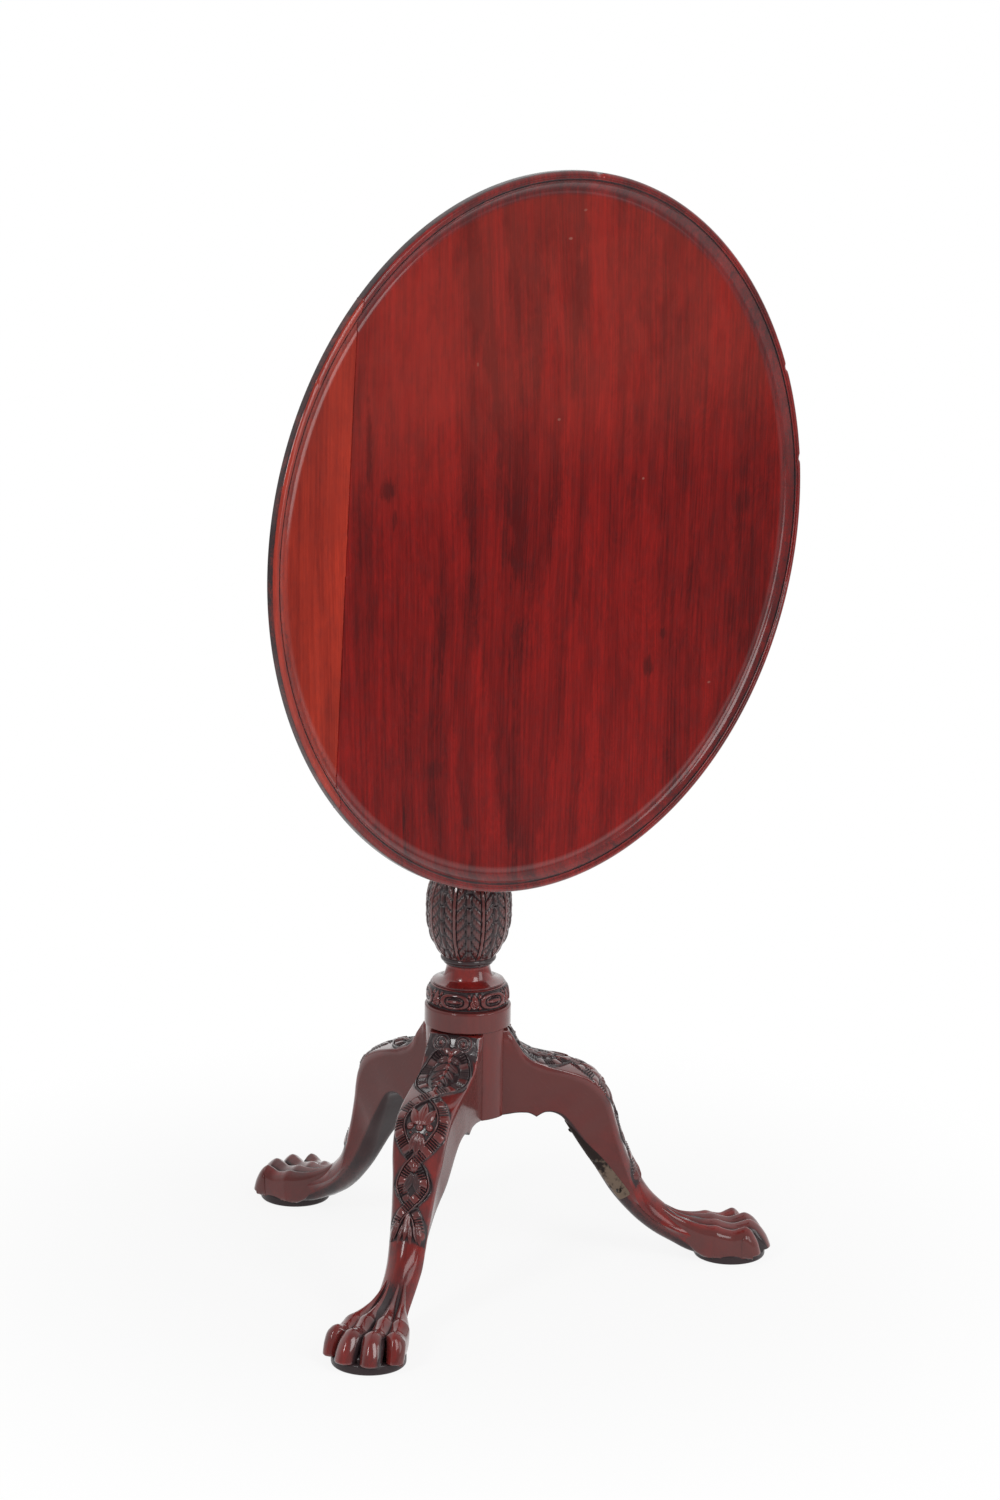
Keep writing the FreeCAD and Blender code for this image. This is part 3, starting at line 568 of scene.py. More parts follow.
def metal(name, bright, dull, tarnish, roughness=0.0, rubbed_end=False):
    """Worn brass, iron or steel, whose tarnish may be rubbed off towards one end."""
    _, weave, shader = new_material(name)
    kept = weave.span(weave.mark("rubbed"), 0.35, 0.8, 1.05, tarnish) if rubbed_end else tarnish
    wear = weave.use("Metal wear", {"Place": weave.node("ShaderNodeTexCoord")["Object"], "Tarnish": kept,
                                    "Bright": opaque(bright), "Dull": opaque(dull)})
    weave.surface(shader, wear["Color"], wear["Roughness"] + roughness, wear["Height"], 0.15, 0.0002)
    shader.inputs["Metallic"].default_value = 1.0


DARK_MARKS = ((-200, 826, 12, 14, 0.55), (-223, 865, 5, 60, 0.45), (-191, 798, 5, 12, 0.5),
              (-228, 740, 22, 130, 0.26), (-54, 757, 5, 30, 0.5),
              (-37, 662, 7, 26, 0.4), (266, 758, 16, 16, 0.35),
              (140, 611, 11, 13, 0.55), (159, 641, 5, 8, 0.5),
              (-138, 553, 16, 14, 0.4), (-177, 513, 2.2, 22, 0.6),
              (-95, 700, 12, 70, 0.25), (-40, 800, 34, 30, 0.07),
              (232, 700, 26, 120, 0.18), (40, 560, 4, 40, 0.25))
LIGHT_MARKS = ((26, 1036, 3.4, 1.6, 0.8), (15, 867, 2.6, 1.5, 0.7), (128, 797, 2.4, 1.6, 0.7),
               (225, 582, 2.6, 1.7, 0.7), (45, 1061, 3.0, 1.5, 0.6), (-90, 930, 1.6, 2.4, 0.5))


# Leg: the plain form. A leg runs along +X, and is turned to its place at the end.

CORE_FLAT = 30.63
LEG_RUN = 239.37
DRUM_BOTTOM = 256.2
LEG_THICKNESS = 54.5
DRUM_RADIUS = 42.3
CLOSING_SHARE = 0.35
LEG_STATIONS = (
    (0.000, 0.996, 0.000, 0.650, 1.00, 0.02, 0.03), (0.040, 0.985, 0.030, 0.653, 1.00, 0.03, 0.03),
    (0.070, 0.930, 0.060, 0.656, 1.00, 0.04, 0.03), (0.105, 0.889, 0.095, 0.655, 1.00, 0.05, 0.03),
    (0.164, 0.861, 0.145, 0.650, 1.00, 0.07, 0.03), (0.251, 0.840, 0.205, 0.652, 1.01, 0.09, 0.04),
    (0.331, 0.817, 0.252, 0.629, 1.01, 0.10, 0.07), (0.389, 0.790, 0.285, 0.586, 1.00, 0.10, 0.11),
    (0.429, 0.755, 0.312, 0.543, 0.99, 0.10, 0.14), (0.460, 0.706, 0.339, 0.502, 0.97, 0.10, 0.16),
    (0.481, 0.650, 0.366, 0.463, 0.93, 0.10, 0.18), (0.500, 0.591, 0.393, 0.424, 0.86, 0.10, 0.20),
    (0.523, 0.527, 0.419, 0.385, 0.80, 0.10, 0.22), (0.550, 0.461, 0.448, 0.340, 0.75, 0.11, 0.23),
    (0.581, 0.402, 0.477, 0.297, 0.71, 0.14, 0.23), (0.612, 0.342, 0.513, 0.252, 0.68, 0.17, 0.22),
    (0.653, 0.283, 0.555, 0.207, 0.66, 0.22, 0.21), (0.703, 0.234, 0.603, 0.162, 0.64, 0.25, 0.20),
    (0.761, 0.190, 0.665, 0.115, 0.65, 0.25, 0.20), (0.816, 0.166, 0.736, 0.076, 0.71, 0.24, 0.19),
    (0.875, 0.152, 0.816, 0.041, 0.86, 0.22, 0.14), (0.950, 0.121, 0.925, 0.022, 1.08, 0.12, 0.08),
    (1.045, 0.108, 1.035, 0.020, 1.22, 0.08, 0.06), (1.118, 0.052, 1.120, 0.020, 1.12, 0.04, 0.04),
)
LEGS = (("leg_front_left", -60.0), ("leg_front_right", 60.0), ("leg_back", 180.0))
CUSP_STATION = 4
CUSP_HALF_WIDTH = 9.0
CUSP_DROP = 3.6
CARVING_START = 9.0
CARVING_STRETCH = 0.985
CARVED_LENGTH = 245.0


def in_leg(out, up):
    """Places in a leg's plane, in millimetres, from shares of its run and of its rise."""
    return np.stack([CORE_FLAT + out * LEG_RUN, up * DRUM_BOTTOM], -1)


def leg_lines(rows):
    """The sections of a leg, one a row: along, front, back, widths and the front's arc length."""
    fine = along_rows(LEG_STATIONS, np.linspace(0, 1, 3000))
    steps = np.linalg.norm(np.diff(in_leg(fine[:, 0], fine[:, 1]), axis=0), axis=1)
    length = np.concatenate([[0], np.cumsum(steps)])
    past = np.linspace(CARVED_LENGTH, length[-1], max(rows // 6, 20))[1:]
    arc = np.concatenate([np.linspace(0, CARVED_LENGTH, rows), past])
    pick = np.stack([np.interp(arc, length, fine[:, k]) for k in range(7)], -1)
    half, crown, bend = pick[:, 4:].T * LEG_THICKNESS
    row = {"arc": arc, "front": in_leg(pick[:, 0], pick[:, 1]), "back": in_leg(pick[:, 2], pick[:, 3]),
           "half": half / 2, "crown": crown, "round": bend}
    slope = unit(np.gradient(row["front"], arc, axis=0))
    row["out"] = np.stack([-slope[:, 1], slope[:, 0]], -1)
    cusp = CORE_FLAT + LEG_STATIONS[CUSP_STATION][2] * LEG_RUN
    near = np.clip(1 - np.abs(row["back"][:, 0] - cusp) / CUSP_HALF_WIDTH, 0, 1)
    row["back"][:, 1] -= CUSP_DROP * near ** 1.6
    return row


# Leg: the relief. Places are along the front from the top, and across it, in millimetres.

STRAND = ((14, 6), (20, 12), (31, 18), (48, 21), (63, 15.5), (79, 0), (93, -14), (112, -21.7), (133, -14.5),
          (151.5, 0), (161, 7.6), (172, 11.8), (183, 7.6), (193, 0),
          (203, -8), (213, -12), (224, -13), (240, -13))


def mound(distance, radius, height, power):
    """A rounded boss: distance from its middle in shares of the radius."""
    return height * np.clip(1 - (distance / radius) ** 2, 0, None) ** power


def leaf(along, across, start, side, angle, length, width, height, vein):
    """A pointed leaf from a place, at an angle to the leg's line, with a vein down its middle."""
    c, s = math.cos(angle), math.sin(angle)
    x = (along - start) * c + (across - side) * s
    y = -(along - start) * s + (across - side) * c
    share = np.clip(x / length, 0, 1)
    half = width / 2 * np.clip(np.sin(math.pi * share ** 0.8), 0.0001, None) ** 0.75
    inside = (x > 0) & (x < length) & (np.abs(y) < half)
    body = height * np.clip(1 - (y / half) ** 2, 0, 1) ** 0.5 * (0.7 + 0.3 * np.sin(math.pi * share))
    body -= vein * np.exp(-(y / 0.55) ** 2)
    return np.where(inside, np.clip(body, 0, None), 0)


def ribbon(along, across, sign, relief):
    """One strand of the twisted ribbons: smooth blocks by turns with reeded groups, and a cord."""
    lines = along[:, 0]
    centre = sign * glide(STRAND, lines)
    slope = np.gradient(centre, lines)
    run = np.concatenate([[0], np.cumsum(np.hypot(1, slope[1:]) * np.diff(lines))])[:, None]
    cosine = 1 / np.hypot(1, slope)[:, None]
    offset = (across - centre[:, None]) * cosine
    width = 6.1 * ease(8, 13, lines) * (1 - 0.7 * ease(216, 229, lines)) * (1 - 0.12 * ease(150, 170, lines))
    width = np.clip(width, 0.05, None)[:, None]
    aside = offset * sign
    inside = np.abs(offset) < width
    edge = np.clip(1 - (np.abs(offset) / width) ** 8, 0, 1) ** 0.5
    lean = (slope / np.hypot(1, slope))[:, None]
    beat = (run + (across - centre[:, None]) * lean) % 18.6
    blocks = beat < 8.2
    swell = np.clip(np.sin(math.pi * beat / 8.2), 0, 1) ** 0.35
    ridge = 1 - np.abs(((beat - 8.2) / 2.6) % 1.0 - 0.5) * 2
    body = np.where(blocks, 0.12 + 0.66 * swell * (1 - 0.18 * (offset / width) ** 2),
                    0.18 + 0.74 * ridge ** 0.8)
    beside = np.exp(-((aside - width + 2.05) / 0.4) ** 2)
    cord = np.sqrt(np.clip(1 - ((aside - width + 0.9) / 0.95) ** 2, 0, 1))
    on_cord = np.abs(aside - width + 0.9) < 0.95
    height = np.where(on_cord, relief * (0.25 + 0.55 * cord), relief * body * edge * (1 - 0.8 * beside))
    crossing = np.zeros_like(lines)
    for number, place in enumerate((79.0, 151.5, 193.0)):
        over = sign if number % 2 == 0 else -sign
        crossing += over * np.exp(-((lines - place) / 9.0) ** 2)
    height = height + (crossing * 0.7)[:, None]
    both_ends = (fade(222, 228, lines) * ease(9, 15, lines))[:, None]
    worn = np.where(blocks, 0.15 + 0.85 * swell, 0.7 * ridge) * (1 - 0.9 * beside)
    worn = np.where(on_cord, 0.6 * cord, worn) * (0.45 + 0.55 * ease(48, 76, along))
    worn = np.clip(worn - 0.45 * (crossing < -0.25)[:, None], 0, 1)
    return np.where(inside, height * both_ends, 0), np.where(inside, worn * edge, 0)


def leg_relief(along, across, relief):
    """The height and the wear of the carving over the front of a leg."""
    height = np.zeros_like(along)
    worn = np.zeros_like(along)

    def lay(added, wear):
        over = added > height + 0.001
        height[over] = added[over]
        worn[over] = np.broadcast_to(wear, height.shape)[over]

    def boss(place, aside, radius, tall, wear, long=1.0, broad=1.0):
        lay(mound(np.hypot((along - place) / long, (across - aside) / broad), radius, tall, 0.5), wear)

    def lay_leaf(start, aside, degrees, size, wear):
        lay(leaf(along, across, start, aside, math.radians(degrees), *size), wear)

    for side in (-1, 1):
        r = np.hypot(along - 7.5, across - side * 11.8)
        angle = np.arctan2(across - side * 11.8, along - 7.5) * side
        coil = 0.5 + 0.5 * np.cos(2 * math.pi * r / 3.5 - angle)
        lay(np.where(r < 9.6, mound(r, 9.8, 1.6, 0.35) + 1.15 * coil ** 0.7, 0), 0.05 + 0.3 * coil)
        boss(7.5, side * 11.8, 2.2, 3.6, 0.9)
    boss(18, 0, 3.0, 3.0, 1.0)
    lay(1.5 * np.exp(-(across / 0.8) ** 2) * ((along > 20) & (along < 66)), 0.5)
    for start, length, wide, turn in ((22, 13, 8.0, 66), (29, 16, 8.6, 52),
                                      (37, 17, 8.4, 40), (46, 15, 7.4, 30),
                                      (56, 10, 6.0, 24)):
        for side in (-1, 1):
            lay_leaf(start, side * 0.6, side * turn, (length, wide, 2.7, 0.9), 0.35)
    for start in (24.0, 31.5, 39.5, 48.5, 58.5):
        boss(start, 0, 2.4, 2.9, 0.9, long=1.5)
    lay_leaf(64, 0, 0, (11.0, 5.0, 2.7, 0.3), 0.7)
    for side in (-1, 1):
        lay(*ribbon(along, across, side, relief))
    for side in (-1, 0, 1):
        lay_leaf(116.5, side * 2.6, 180 - side * 27, (25 - 5 * abs(side), 11.0, 3.1, 0.35), 0.95)
        boss(119 - abs(side), side * 9.8, 3.7, 3.4, 1.0)
        boss(125.5 - abs(side), side * 8.2, 1.5, 1.8, 0.85)
    for side in (-1, 0, 1):
        lay_leaf(124.5, side * 2.0, side * 14, (23 - 4 * abs(side), 9.0, 3.3, 0.8), 0.5)
    boss(157, 0, 3.8, 3.6, 1.0, long=1.3, broad=1.1)
    for side in (-1, 1):
        lay_leaf(162.5, side * 0.8, side * 20, (22, 9.4, 2.6, 0.6), 0.3)
    lay_leaf(199, 0, 0, (28, 7.6, 3.0, 0.25), 0.7)
    for side in (-1, 1):
        lay_leaf(207, side * 9.6, side * 14, (21, 8.0, 2.8, 0.6), 0.5)
        lay_leaf(211, side * 3.4, side * 9, (19, 5.4, 2.6, 0.4), 0.5)
    return height, worn


# Leg: the paw. Each toe is a run of places: out, sideways and top, then its half width and its depth
# below its middle. Its depth above the middle and how pinched its crest is are the same for every toe.

INNER_TOE = ((190, 3.6, 66.0, 1.6, 6), (199, 4.2, 58.5, 1.8, 8), (210, 4.9, 51.0, 2.5, 10),
             (222, 5.8, 45.2, 3.7, 14), (234, 7.0, 42.0, 6.0, 20), (245, 8.2, 40.6, 8.0, 24),
             (254, 9.0, 40.2, 9.6, 26), (263, 9.4, 37.0, 9.8, 24), (272, 9.7, 35.2, 10.0, 24),
             (281, 10.0, 37.2, 10.6, 24), (288.5, 10.4, 38.4, 11.2, 24), (297, 11.1, 33.0, 11.3, 20),
             (304.3, 11.9, 23.4, 11.2, 14), (308.6, 12.4, 13.6, 10.8, 6), (309.6, 12.6, 8.2, 9.8, 2))
OUTER_TOE = ((192, 7.6, 62.5, 1.6, 6), (201, 9.6, 55.0, 1.8, 8), (211, 12.0, 48.0, 2.6, 11),
             (222, 14.8, 43.0, 4.0, 16), (233, 18.0, 40.0, 6.6, 22), (243, 21.2, 38.6, 8.4, 25),
             (251, 23.2, 38.4, 9.8, 26), (259, 24.8, 35.4, 9.8, 24), (267, 26.2, 34.0, 9.6, 24),
             (274, 27.5, 36.2, 9.8, 24), (280, 28.7, 37.4, 10.0, 24), (286, 30.0, 32.4, 9.6, 20),
             (291.2, 31.1, 23.0, 9.2, 14), (294.0, 31.6, 13.4, 8.6, 6), (294.7, 31.7, 8.2, 8.0, 2))
TOE_CREST = ((2.0, 1.7), (3.2, 1.8), (4.6, 1.85), (6.2, 1.85),
             (7.6, 1.7), (8.8, 1.6), (9.6, 1.5), (9.4, 1.45),
             (9.4, 1.45), (10.4, 1.5), (11.5, 1.5), (11.5, 1.45), (11.0, 1.4), (10.0, 1.25), (9.0, 1.1))
TOE_FLOOR = 6.5
PAD_REACH = 270.0


def toe_rings(knots, side, count=96, around=32):
    """The rings of one toe, from its tendon on the ankle to the round tip under the claw."""
    rows = [place + crest for place, crest in zip(knots, TOE_CREST)]
    row = along_rows(rows, np.linspace(0, 1, count))
    crest = np.stack([row[:, 0], side * row[:, 1], row[:, 2]], -1)
    way = unit(np.gradient(crest, axis=0))
    across = np.stack([-way[:, 1], way[:, 0], np.zeros(count)], -1)
    steep = ease(0.4, 0.9, np.abs(way[:, 2]))[:, None]
    across = across * (1 - steep) + np.array([0.0, 1.0, 0.0]) * steep
    across = unit(across - way * np.einsum("ij,ij->i", across, way)[:, None])
    up = np.cross(way, across)
    up *= np.sign(up[:, 2] + up[:, 0])[:, None]
    number = np.arange(count)
    closing = np.sqrt(np.clip(1 - ease(count - 6, count - 1, number) ** 2, 0.02, 1))
    opening = np.sqrt(np.clip(ease(-1, 12, number), 0.02, 1))
    half, below, above = row[:, 3:6].T[..., None] * (closing * opening)[:, None]
    turn = np.linspace(0, 2 * math.pi, around, endpoint=False)[None]
    sine, cosine = np.sin(turn), np.cos(turn)
    aside = half * np.sign(sine) * np.abs(sine) ** np.where(cosine > 0, row[:, 6:7], 0.4)
    centre = crest - up * row[:, 5:6]
    rings = centre[:, None] + across[:, None] * aside[..., None]
    rings = rings + up[:, None] * (above * np.clip(cosine, 0, 1))[..., None]
    rings[..., 2] = np.maximum(rings[..., 2] + below * np.clip(cosine, -1, 0), TOE_FLOOR)
    return rings, np.broadcast_to(cosine, rings.shape[:2]), np.broadcast_to(sine * side, rings.shape[:2])


def pad_rings(around=96):
    """The round pad under the paw."""
    outline = [(2.0, 0.0), (33.2, 0.0)] + arc_through((33.2, 0.0), (35.0, 0.7), (35.7, 2.5), 5)
    outline += [(35.7, 7.5)] + arc_through((35.7, 7.5), (35.0, 9.3), (33.2, 10.0), 5) + [(2.0, 10.0)]
    turn = np.linspace(0, 2 * math.pi, around, endpoint=False)
    return np.array([[(PAD_REACH + r * math.cos(t), r * math.sin(t), z) for t in turn] for r, z in outline])


def leg_skin(azimuth, settings):
    """All the shells of one leg, turned to its place."""
    row = leg_lines(settings.rows)
    arc = row["arc"][:, None]
    inward = unit(row["back"] - row["front"])
    half = row["half"] * (1 - 0.55 * ease(264, 290, row["front"][:, 0]))
    crown, bend = row["crown"], row["round"]
    narrow = half - bend * CLOSING_SHARE
    turn = row["back"] - inward * bend[:, None]
    share = np.linspace(-1, 1, 121)[None]
    across = half[:, None] * share
    along = np.broadcast_to((arc - CARVING_START) * CARVING_STRETCH, across.shape)
    height, worn = leg_relief(along, across, settings.relief / MM)
    strand = np.abs(glide(STRAND, along[:, 0]))[:, None]
    field = fade(0.0, 1.6, np.abs(across) - np.maximum(strand + 6.2, 7.0))
    field = np.maximum(field, fade(12, 26, along)) * fade(214, 223, along + 3 * np.cos(across * 0.9))
    carved = fade(224, 231, along) * fade(0.955, 0.99, np.abs(share)) * ease(-3.0, 1.0, along)
    raise_by = (height - settings.ground_sink / MM * field) * carved
    edge = np.interp(arc, (0, 70, 110, 200, 260, 300), (0.6, 0.8, 2.4, 5.0, 5.5, 2.0))
    past = np.clip(np.abs(across) - (half[:, None] - edge), 0, edge)
    depth = crown[:, None] * share ** 2 + edge - np.sqrt(edge ** 2 - past ** 2)
    shoulder = row["front"] + inward * crown[:, None] + inward * edge
    pushed = row["out"][:, None] * raise_by[..., None]
    face = row["front"][:, None] + inward[:, None] * depth[..., None] + pushed
    near = fade(0.0, 7.0, np.abs(across) - strand - 5.6)
    columns, wears, hollows = [], [], []

    def strip(places, sides, wear, hollow=0.0):
        columns.append(np.stack([places[..., 0], sides, places[..., 1]], -1))
        wears.append(np.broadcast_to(wear, sides.shape))
        hollows.append(np.broadcast_to(hollow, sides.shape))

    strip(face, across, np.maximum(worn, 0.75 * (1 - field) * (height < 0.05)) * carved + (1 - carved) * 0.85,
          carved * np.clip(1 - height / 1.6, 0, 1) * np.maximum(field, 0.75 * near))
    steps = np.linspace(0, 1, 8)[1:]
    corner = np.linspace(0, math.pi / 2, 6)[1:]
    flank = shoulder[:, None] + (turn - shoulder)[:, None] * steps[:, None]
    flank_side = half[:, None] + (narrow - half)[:, None] * steps
    low = turn[:, None] + inward[:, None] * (bend[:, None] * np.sin(corner))[..., None]
    low_side = narrow[:, None] - bend[:, None] * (1 - np.cos(corner))
    strip(flank, flank_side, 0.7)
    strip(low, low_side, 0.25)
    strip(np.repeat(row["back"][:, None], 3, axis=1), (narrow - bend)[:, None] * (0.5, 0.0, -0.5), 0.15)
    strip(low[:, ::-1], -low_side[:, ::-1], 0.25)
    strip(flank[:, ::-1], -flank_side[:, ::-1], 0.7)
    points, worn, recess = (np.concatenate(parts, axis=1) for parts in (columns, wears, hollows))
    far = np.hypot(points[..., 0], points[..., 1])
    allowed = DRUM_RADIUS + np.clip(256.0 - points[..., 2], 0, None) * 0.62
    shave = np.where((points[..., 2] > 236) & (far > allowed), allowed / far, 1.0)
    points[..., :2] *= shave[..., None]
    others = points.shape[1] - share.shape[1]
    on_front = (np.arange(points.shape[1]) < share.shape[1])[None]
    raised = np.pad(height * carved, ((0, 0), (0, others))) > 0.2
    # Painted reflection, over grey old wax: the haze greys the raised carving and, lightly, the upper front,
    # and the sides fully until they near the paw.
    front_haze_and_painted_sheen = np.maximum(0.25 * fade(120, 215, arc), 0.6 * raised)
    haze = np.where(on_front, front_haze_and_painted_sheen * (1 - recess), 1 - 0.85 * ease(200, 262, arc))
    shine = np.where(on_front, 1.65 - 0.95 * ease(222, 240, arc), 1 - 0.6 * haze)
    reach = row["front"][:, 0:1]
    crest = np.interp(reach, (192, 222, 251, 280, 298), (8, 15, 23, 28, 34))
    between = fade(crest - 3, crest + 2, np.abs(points[..., 1]))
    recess = np.maximum(recess, 0.85 * ease(188, 218, reach) * between * on_front)
    skin = Skin()

    def add(points, worn, recess, haze, shine):
        x, y, z = points[..., 0], points[..., 1], points[..., 2]
        grain = np.stack([y, x * 0.3 + z * 0.3, x * 0.7 - z * 0.75], -1) + azimuth * 3
        placed = turned_about_z(points, math.radians(azimuth - 90) + settings.turn)
        skin.add_tube(placed, worn=worn, recess=recess, shine=shine, haze=haze, wood_place=grain)

    add(points, worn, recess, haze, shine)
    for knots in (INNER_TOE, OUTER_TOE):
        for side in (-1, 1):
            rings, crest, outward = toe_rings(knots, side)
            plain = ease(0.0, 0.3, outward) * (knots is OUTER_TOE)
            groove = 0.95 * fade(-0.1, 0.7, crest) * (1 - plain)
            # The toes' sides and undersides are hazed, a painted reflection that greys them, most on the
            # outer toes' plain outer sides.
            add(rings, np.maximum(0.25 + 0.65 * ease(0.3, 0.97, crest), 0.85 * plain), groove,
                0.1 + (0.55 + 0.25 * plain) * fade(0.5, 0.95, crest), 1.5 - 0.7 * plain)
    # The pad is hazed too, a painted reflection.
    add(pad_rings(), 0.35, 0.5, 0.9, 0.7)
    return skin


# Column

URN_FOOT = 325.4
URN_HEIGHT = 101.0
URN_RADIUS = 42.0
URN_SHARES = ((0.0, 0.62), (0.04, 0.70), (0.13, 0.835), (0.23, 0.93),
              (0.33, 0.985), (0.46, 1.0), (0.60, 0.985),
              (0.73, 0.905), (0.85, 0.755), (0.94, 0.61), (1.0, 0.545))
BAND_MIDDLE = 287.3


def column_profile():
    """The turned outline from foot to head: radius, height, wear and hollow of each ring."""
    places = np.linspace(0, 1, 142)
    urn = zip(URN_RADIUS * glide(URN_SHARES, places), URN_FOOT + URN_HEIGHT * places)
    drum = [(41.9, 256.25), (42.3, 256.7)] + [(42.3, z) for z in np.linspace(257.5, 274.0, 6)]
    runs = (
        ([(2.0, 166.5)], 0.4, 0.2),
        ([(38.0, 166.5), (40.6, 166.6), (41.0, 167.2)], 0.5, 0.0),
        ([(41.0, z) for z in np.linspace(168, 255.6, 14)], 0.85, 0.0),
        ([(41.0, 256.2)], 0.2, 0.9),
        (drum, 0.85, 0.0),
        (arc_through((42.3, 274.6), (41.66, 276.16), (40.1, 276.8), 6), 1.0, 0.0),
        ([(39.4, 276.8), (38.7, 276.5)], 0.2, 0.9),
        (arc_through((38.6, 276.8), (40.6, BAND_MIDDLE), (36.4, 297.8), 36), 0.5, 0.0),
        ([(35.4, 297.9), (35.0, 298.0), (35.2, 298.3), (35.4, 299.2), (35.2, 299.9)], 0.6, 0.2),
        (arc_through((35.2, 300.0), (29.9, 301.2), (24.6, 303.6), 8), 0.95, 0.0),
        (arc_through((24.6, 303.6), (22.4, 309.6), (21.3, 315.6), 8), 1.0, 0.0),
        ([(21.3, 316.8), (21.1, 317.4)], 0.8, 0.2),
        ([(22.0, 317.6)] + arc_through((22.3, 317.6), (24.4, 319.3), (22.3, 321.0), 8), 0.35, 0.2),
        ([(22.1, 321.1)], 0.1, 0.9),
        (arc_through((22.3, 321.1), (27.2, 323.2), (26.0, URN_FOOT), 9), 0.3, 0.2),
        (urn, 0.5, 0.0),
        ([(22.8, 426.5)], 0.1, 0.9),
        (arc_through((22.9, 426.4), (27.5, 428.9), (25.0, 431.4), 8), 0.9, 0.0),
        ([(24.8, 431.5)], 0.2, 0.8),
        (arc_through((25.0, 431.5), (24.0, 434.9), (25.0, 438.4), 6), 0.85, 0.0),
        (arc_through((25.0, 438.5), (23.25, 541.9), (19.5, 645.4), 18), 0.85, 0.0),
        ([(19.3, 645.5)], 0.2, 0.8),
        (arc_through((19.5, 645.5), (24.0, 647.9), (19.5, 650.4), 8), 0.85, 0.0),
        ([(19.4, 650.5)], 0.2, 0.8),
        (arc_through((19.5, 650.5), (26.5, 653.4), (30.0, 659.3), 6), 0.8, 0.0),
        ([(19.0, 659.3), (19.0, 703.1), (2.0, 703.1)], 0.5, 0.3),
    )
    return np.array([(r, z, wear, hollow) for points, wear, hollow in runs for r, z in points])


def bearing_from(angle, first, count):
    """How far an angle is from the nearest of count places round the column, in radians."""
    step = 2 * math.pi / count
    return (angle - first + step / 2) % step - step / 2


def urn_relief(angle, share, radius, settings):
    """Upright leaves with a rib and curling lobes, and chains of pods between them."""
    first = CAMERA_BEARING + math.radians(20)
    spacing = math.pi / settings.leaves
    off = bearing_from(angle, first, settings.leaves)
    u = np.abs(off) / spacing
    x = np.abs(off) * radius
    rise = 9.6 * (share - 0.15 * u ** 1.35)
    lobes = np.abs(np.sin(math.pi * (rise % 1.0) ** 0.75)) ** 0.5
    reach = (0.84 - 0.12 * np.abs(np.cos(math.pi * rise)) ** 3) * (1 - 0.25 * ease(0.86, 1.0, share))
    on_leaf = fade(reach - 0.05, reach + 0.02, u)
    crown = 0.72 + 0.28 * np.cos(math.pi * np.clip(u / 0.8, 0, 1) * 0.9)
    fold = 0.12 * np.cos(x * 2.4 + rise * 2 * math.pi)
    height = on_leaf * lobes * (crown + fold)
    wear = on_leaf * (0.22 + 0.42 * lobes * crown)
    rib = fade(1.15, 1.75, x)
    beside = np.exp(-((x - 2.1) / 0.5) ** 2)
    height = np.maximum(height * (1 - 0.75 * beside), rib)
    wear = np.maximum(wear * (1 - beside), rib * 0.72)
    gap = (1 - u) * spacing * radius
    cells = glide(((0.0, 0.3), (0.35, 2.5), (0.7, 4.9), (1.0, 7.3)), share)
    within = cells % 1.0
    pod = np.sqrt(np.clip(1 - (gap / 2.7) ** 2, 0, 1)) * np.clip(1 - (2 * within - 1) ** 2, 0, 1) ** 0.4
    height = np.maximum(height, 0.95 * pod)
    wear = np.maximum(wear, 0.42 * pod)
    return height, wear


def band_relief(angle, level, radius, settings):
    """Framed panels with a barred middle, and a small scroll and leaf between them."""
    x = bearing_from(angle, CAMERA_BEARING - math.radians(20), settings.cartouches) * radius
    y = level
    ring = (np.abs(x) / 14.2) ** 2.6 + (np.abs(y) / 7.0) ** 2.6
    ring = ring ** (1 / 2.6)
    frame_line = fade(0.12, 0.22, np.abs(ring - 0.90))
    inner_line = 0.75 * fade(0.05, 0.11, np.abs(ring - 0.57))
    bar = np.clip(1 - np.abs(y) / (2.6 * np.clip(1 - (x / 9.5) ** 2, 0.01, 1)), 0, 1) ** 0.5
    bar = np.where(np.abs(x) < 9.5, bar, 0)
    height = np.maximum.reduce([frame_line, 0.8 * inner_line, 0.95 * bar])
    wear = np.maximum.reduce([0.55 * frame_line, 0.45 * inner_line, 0.7 * bar, np.full_like(x, 0.14)])
    x = bearing_from(angle, CAMERA_BEARING + math.radians(10), settings.cartouches) * radius
    r = np.hypot(x, y + 1.5)
    curl = 0.5 + 0.5 * np.cos(2 * math.pi * r / 2.6 - np.arctan2(y + 1.5, x))
    boss = np.where(r < 4.9, 0.45 + 0.5 * curl, 0)
    sprig = np.where((np.abs(x) < 3.0 * np.clip((8.6 - y) / 4.5, 0, 1)) & (y > 2.4) & (y < 8.6), 0.75, 0)
    for corner in (-1, 1):
        for level in (-1, 1):
            away = np.hypot((x - corner * 5.6) / 1.5, (y - level * 5.6) / 1.9)
            sprig = np.maximum(sprig, 0.8 * np.sqrt(np.clip(1 - (away / 1.5) ** 2, 0, 1)))
    between = ring > 1.14
    height = np.where(between, np.maximum(boss, sprig), height)
    wear = np.where(between, np.maximum(boss * 0.8, sprig * 0.7) + 0.1, wear)
    edge = fade(8.0, 9.6, np.abs(y))
    rim = ease(9.2, 9.9, np.abs(y))
    return height * edge + 0.9 * rim, wear * edge + 0.9 * rim


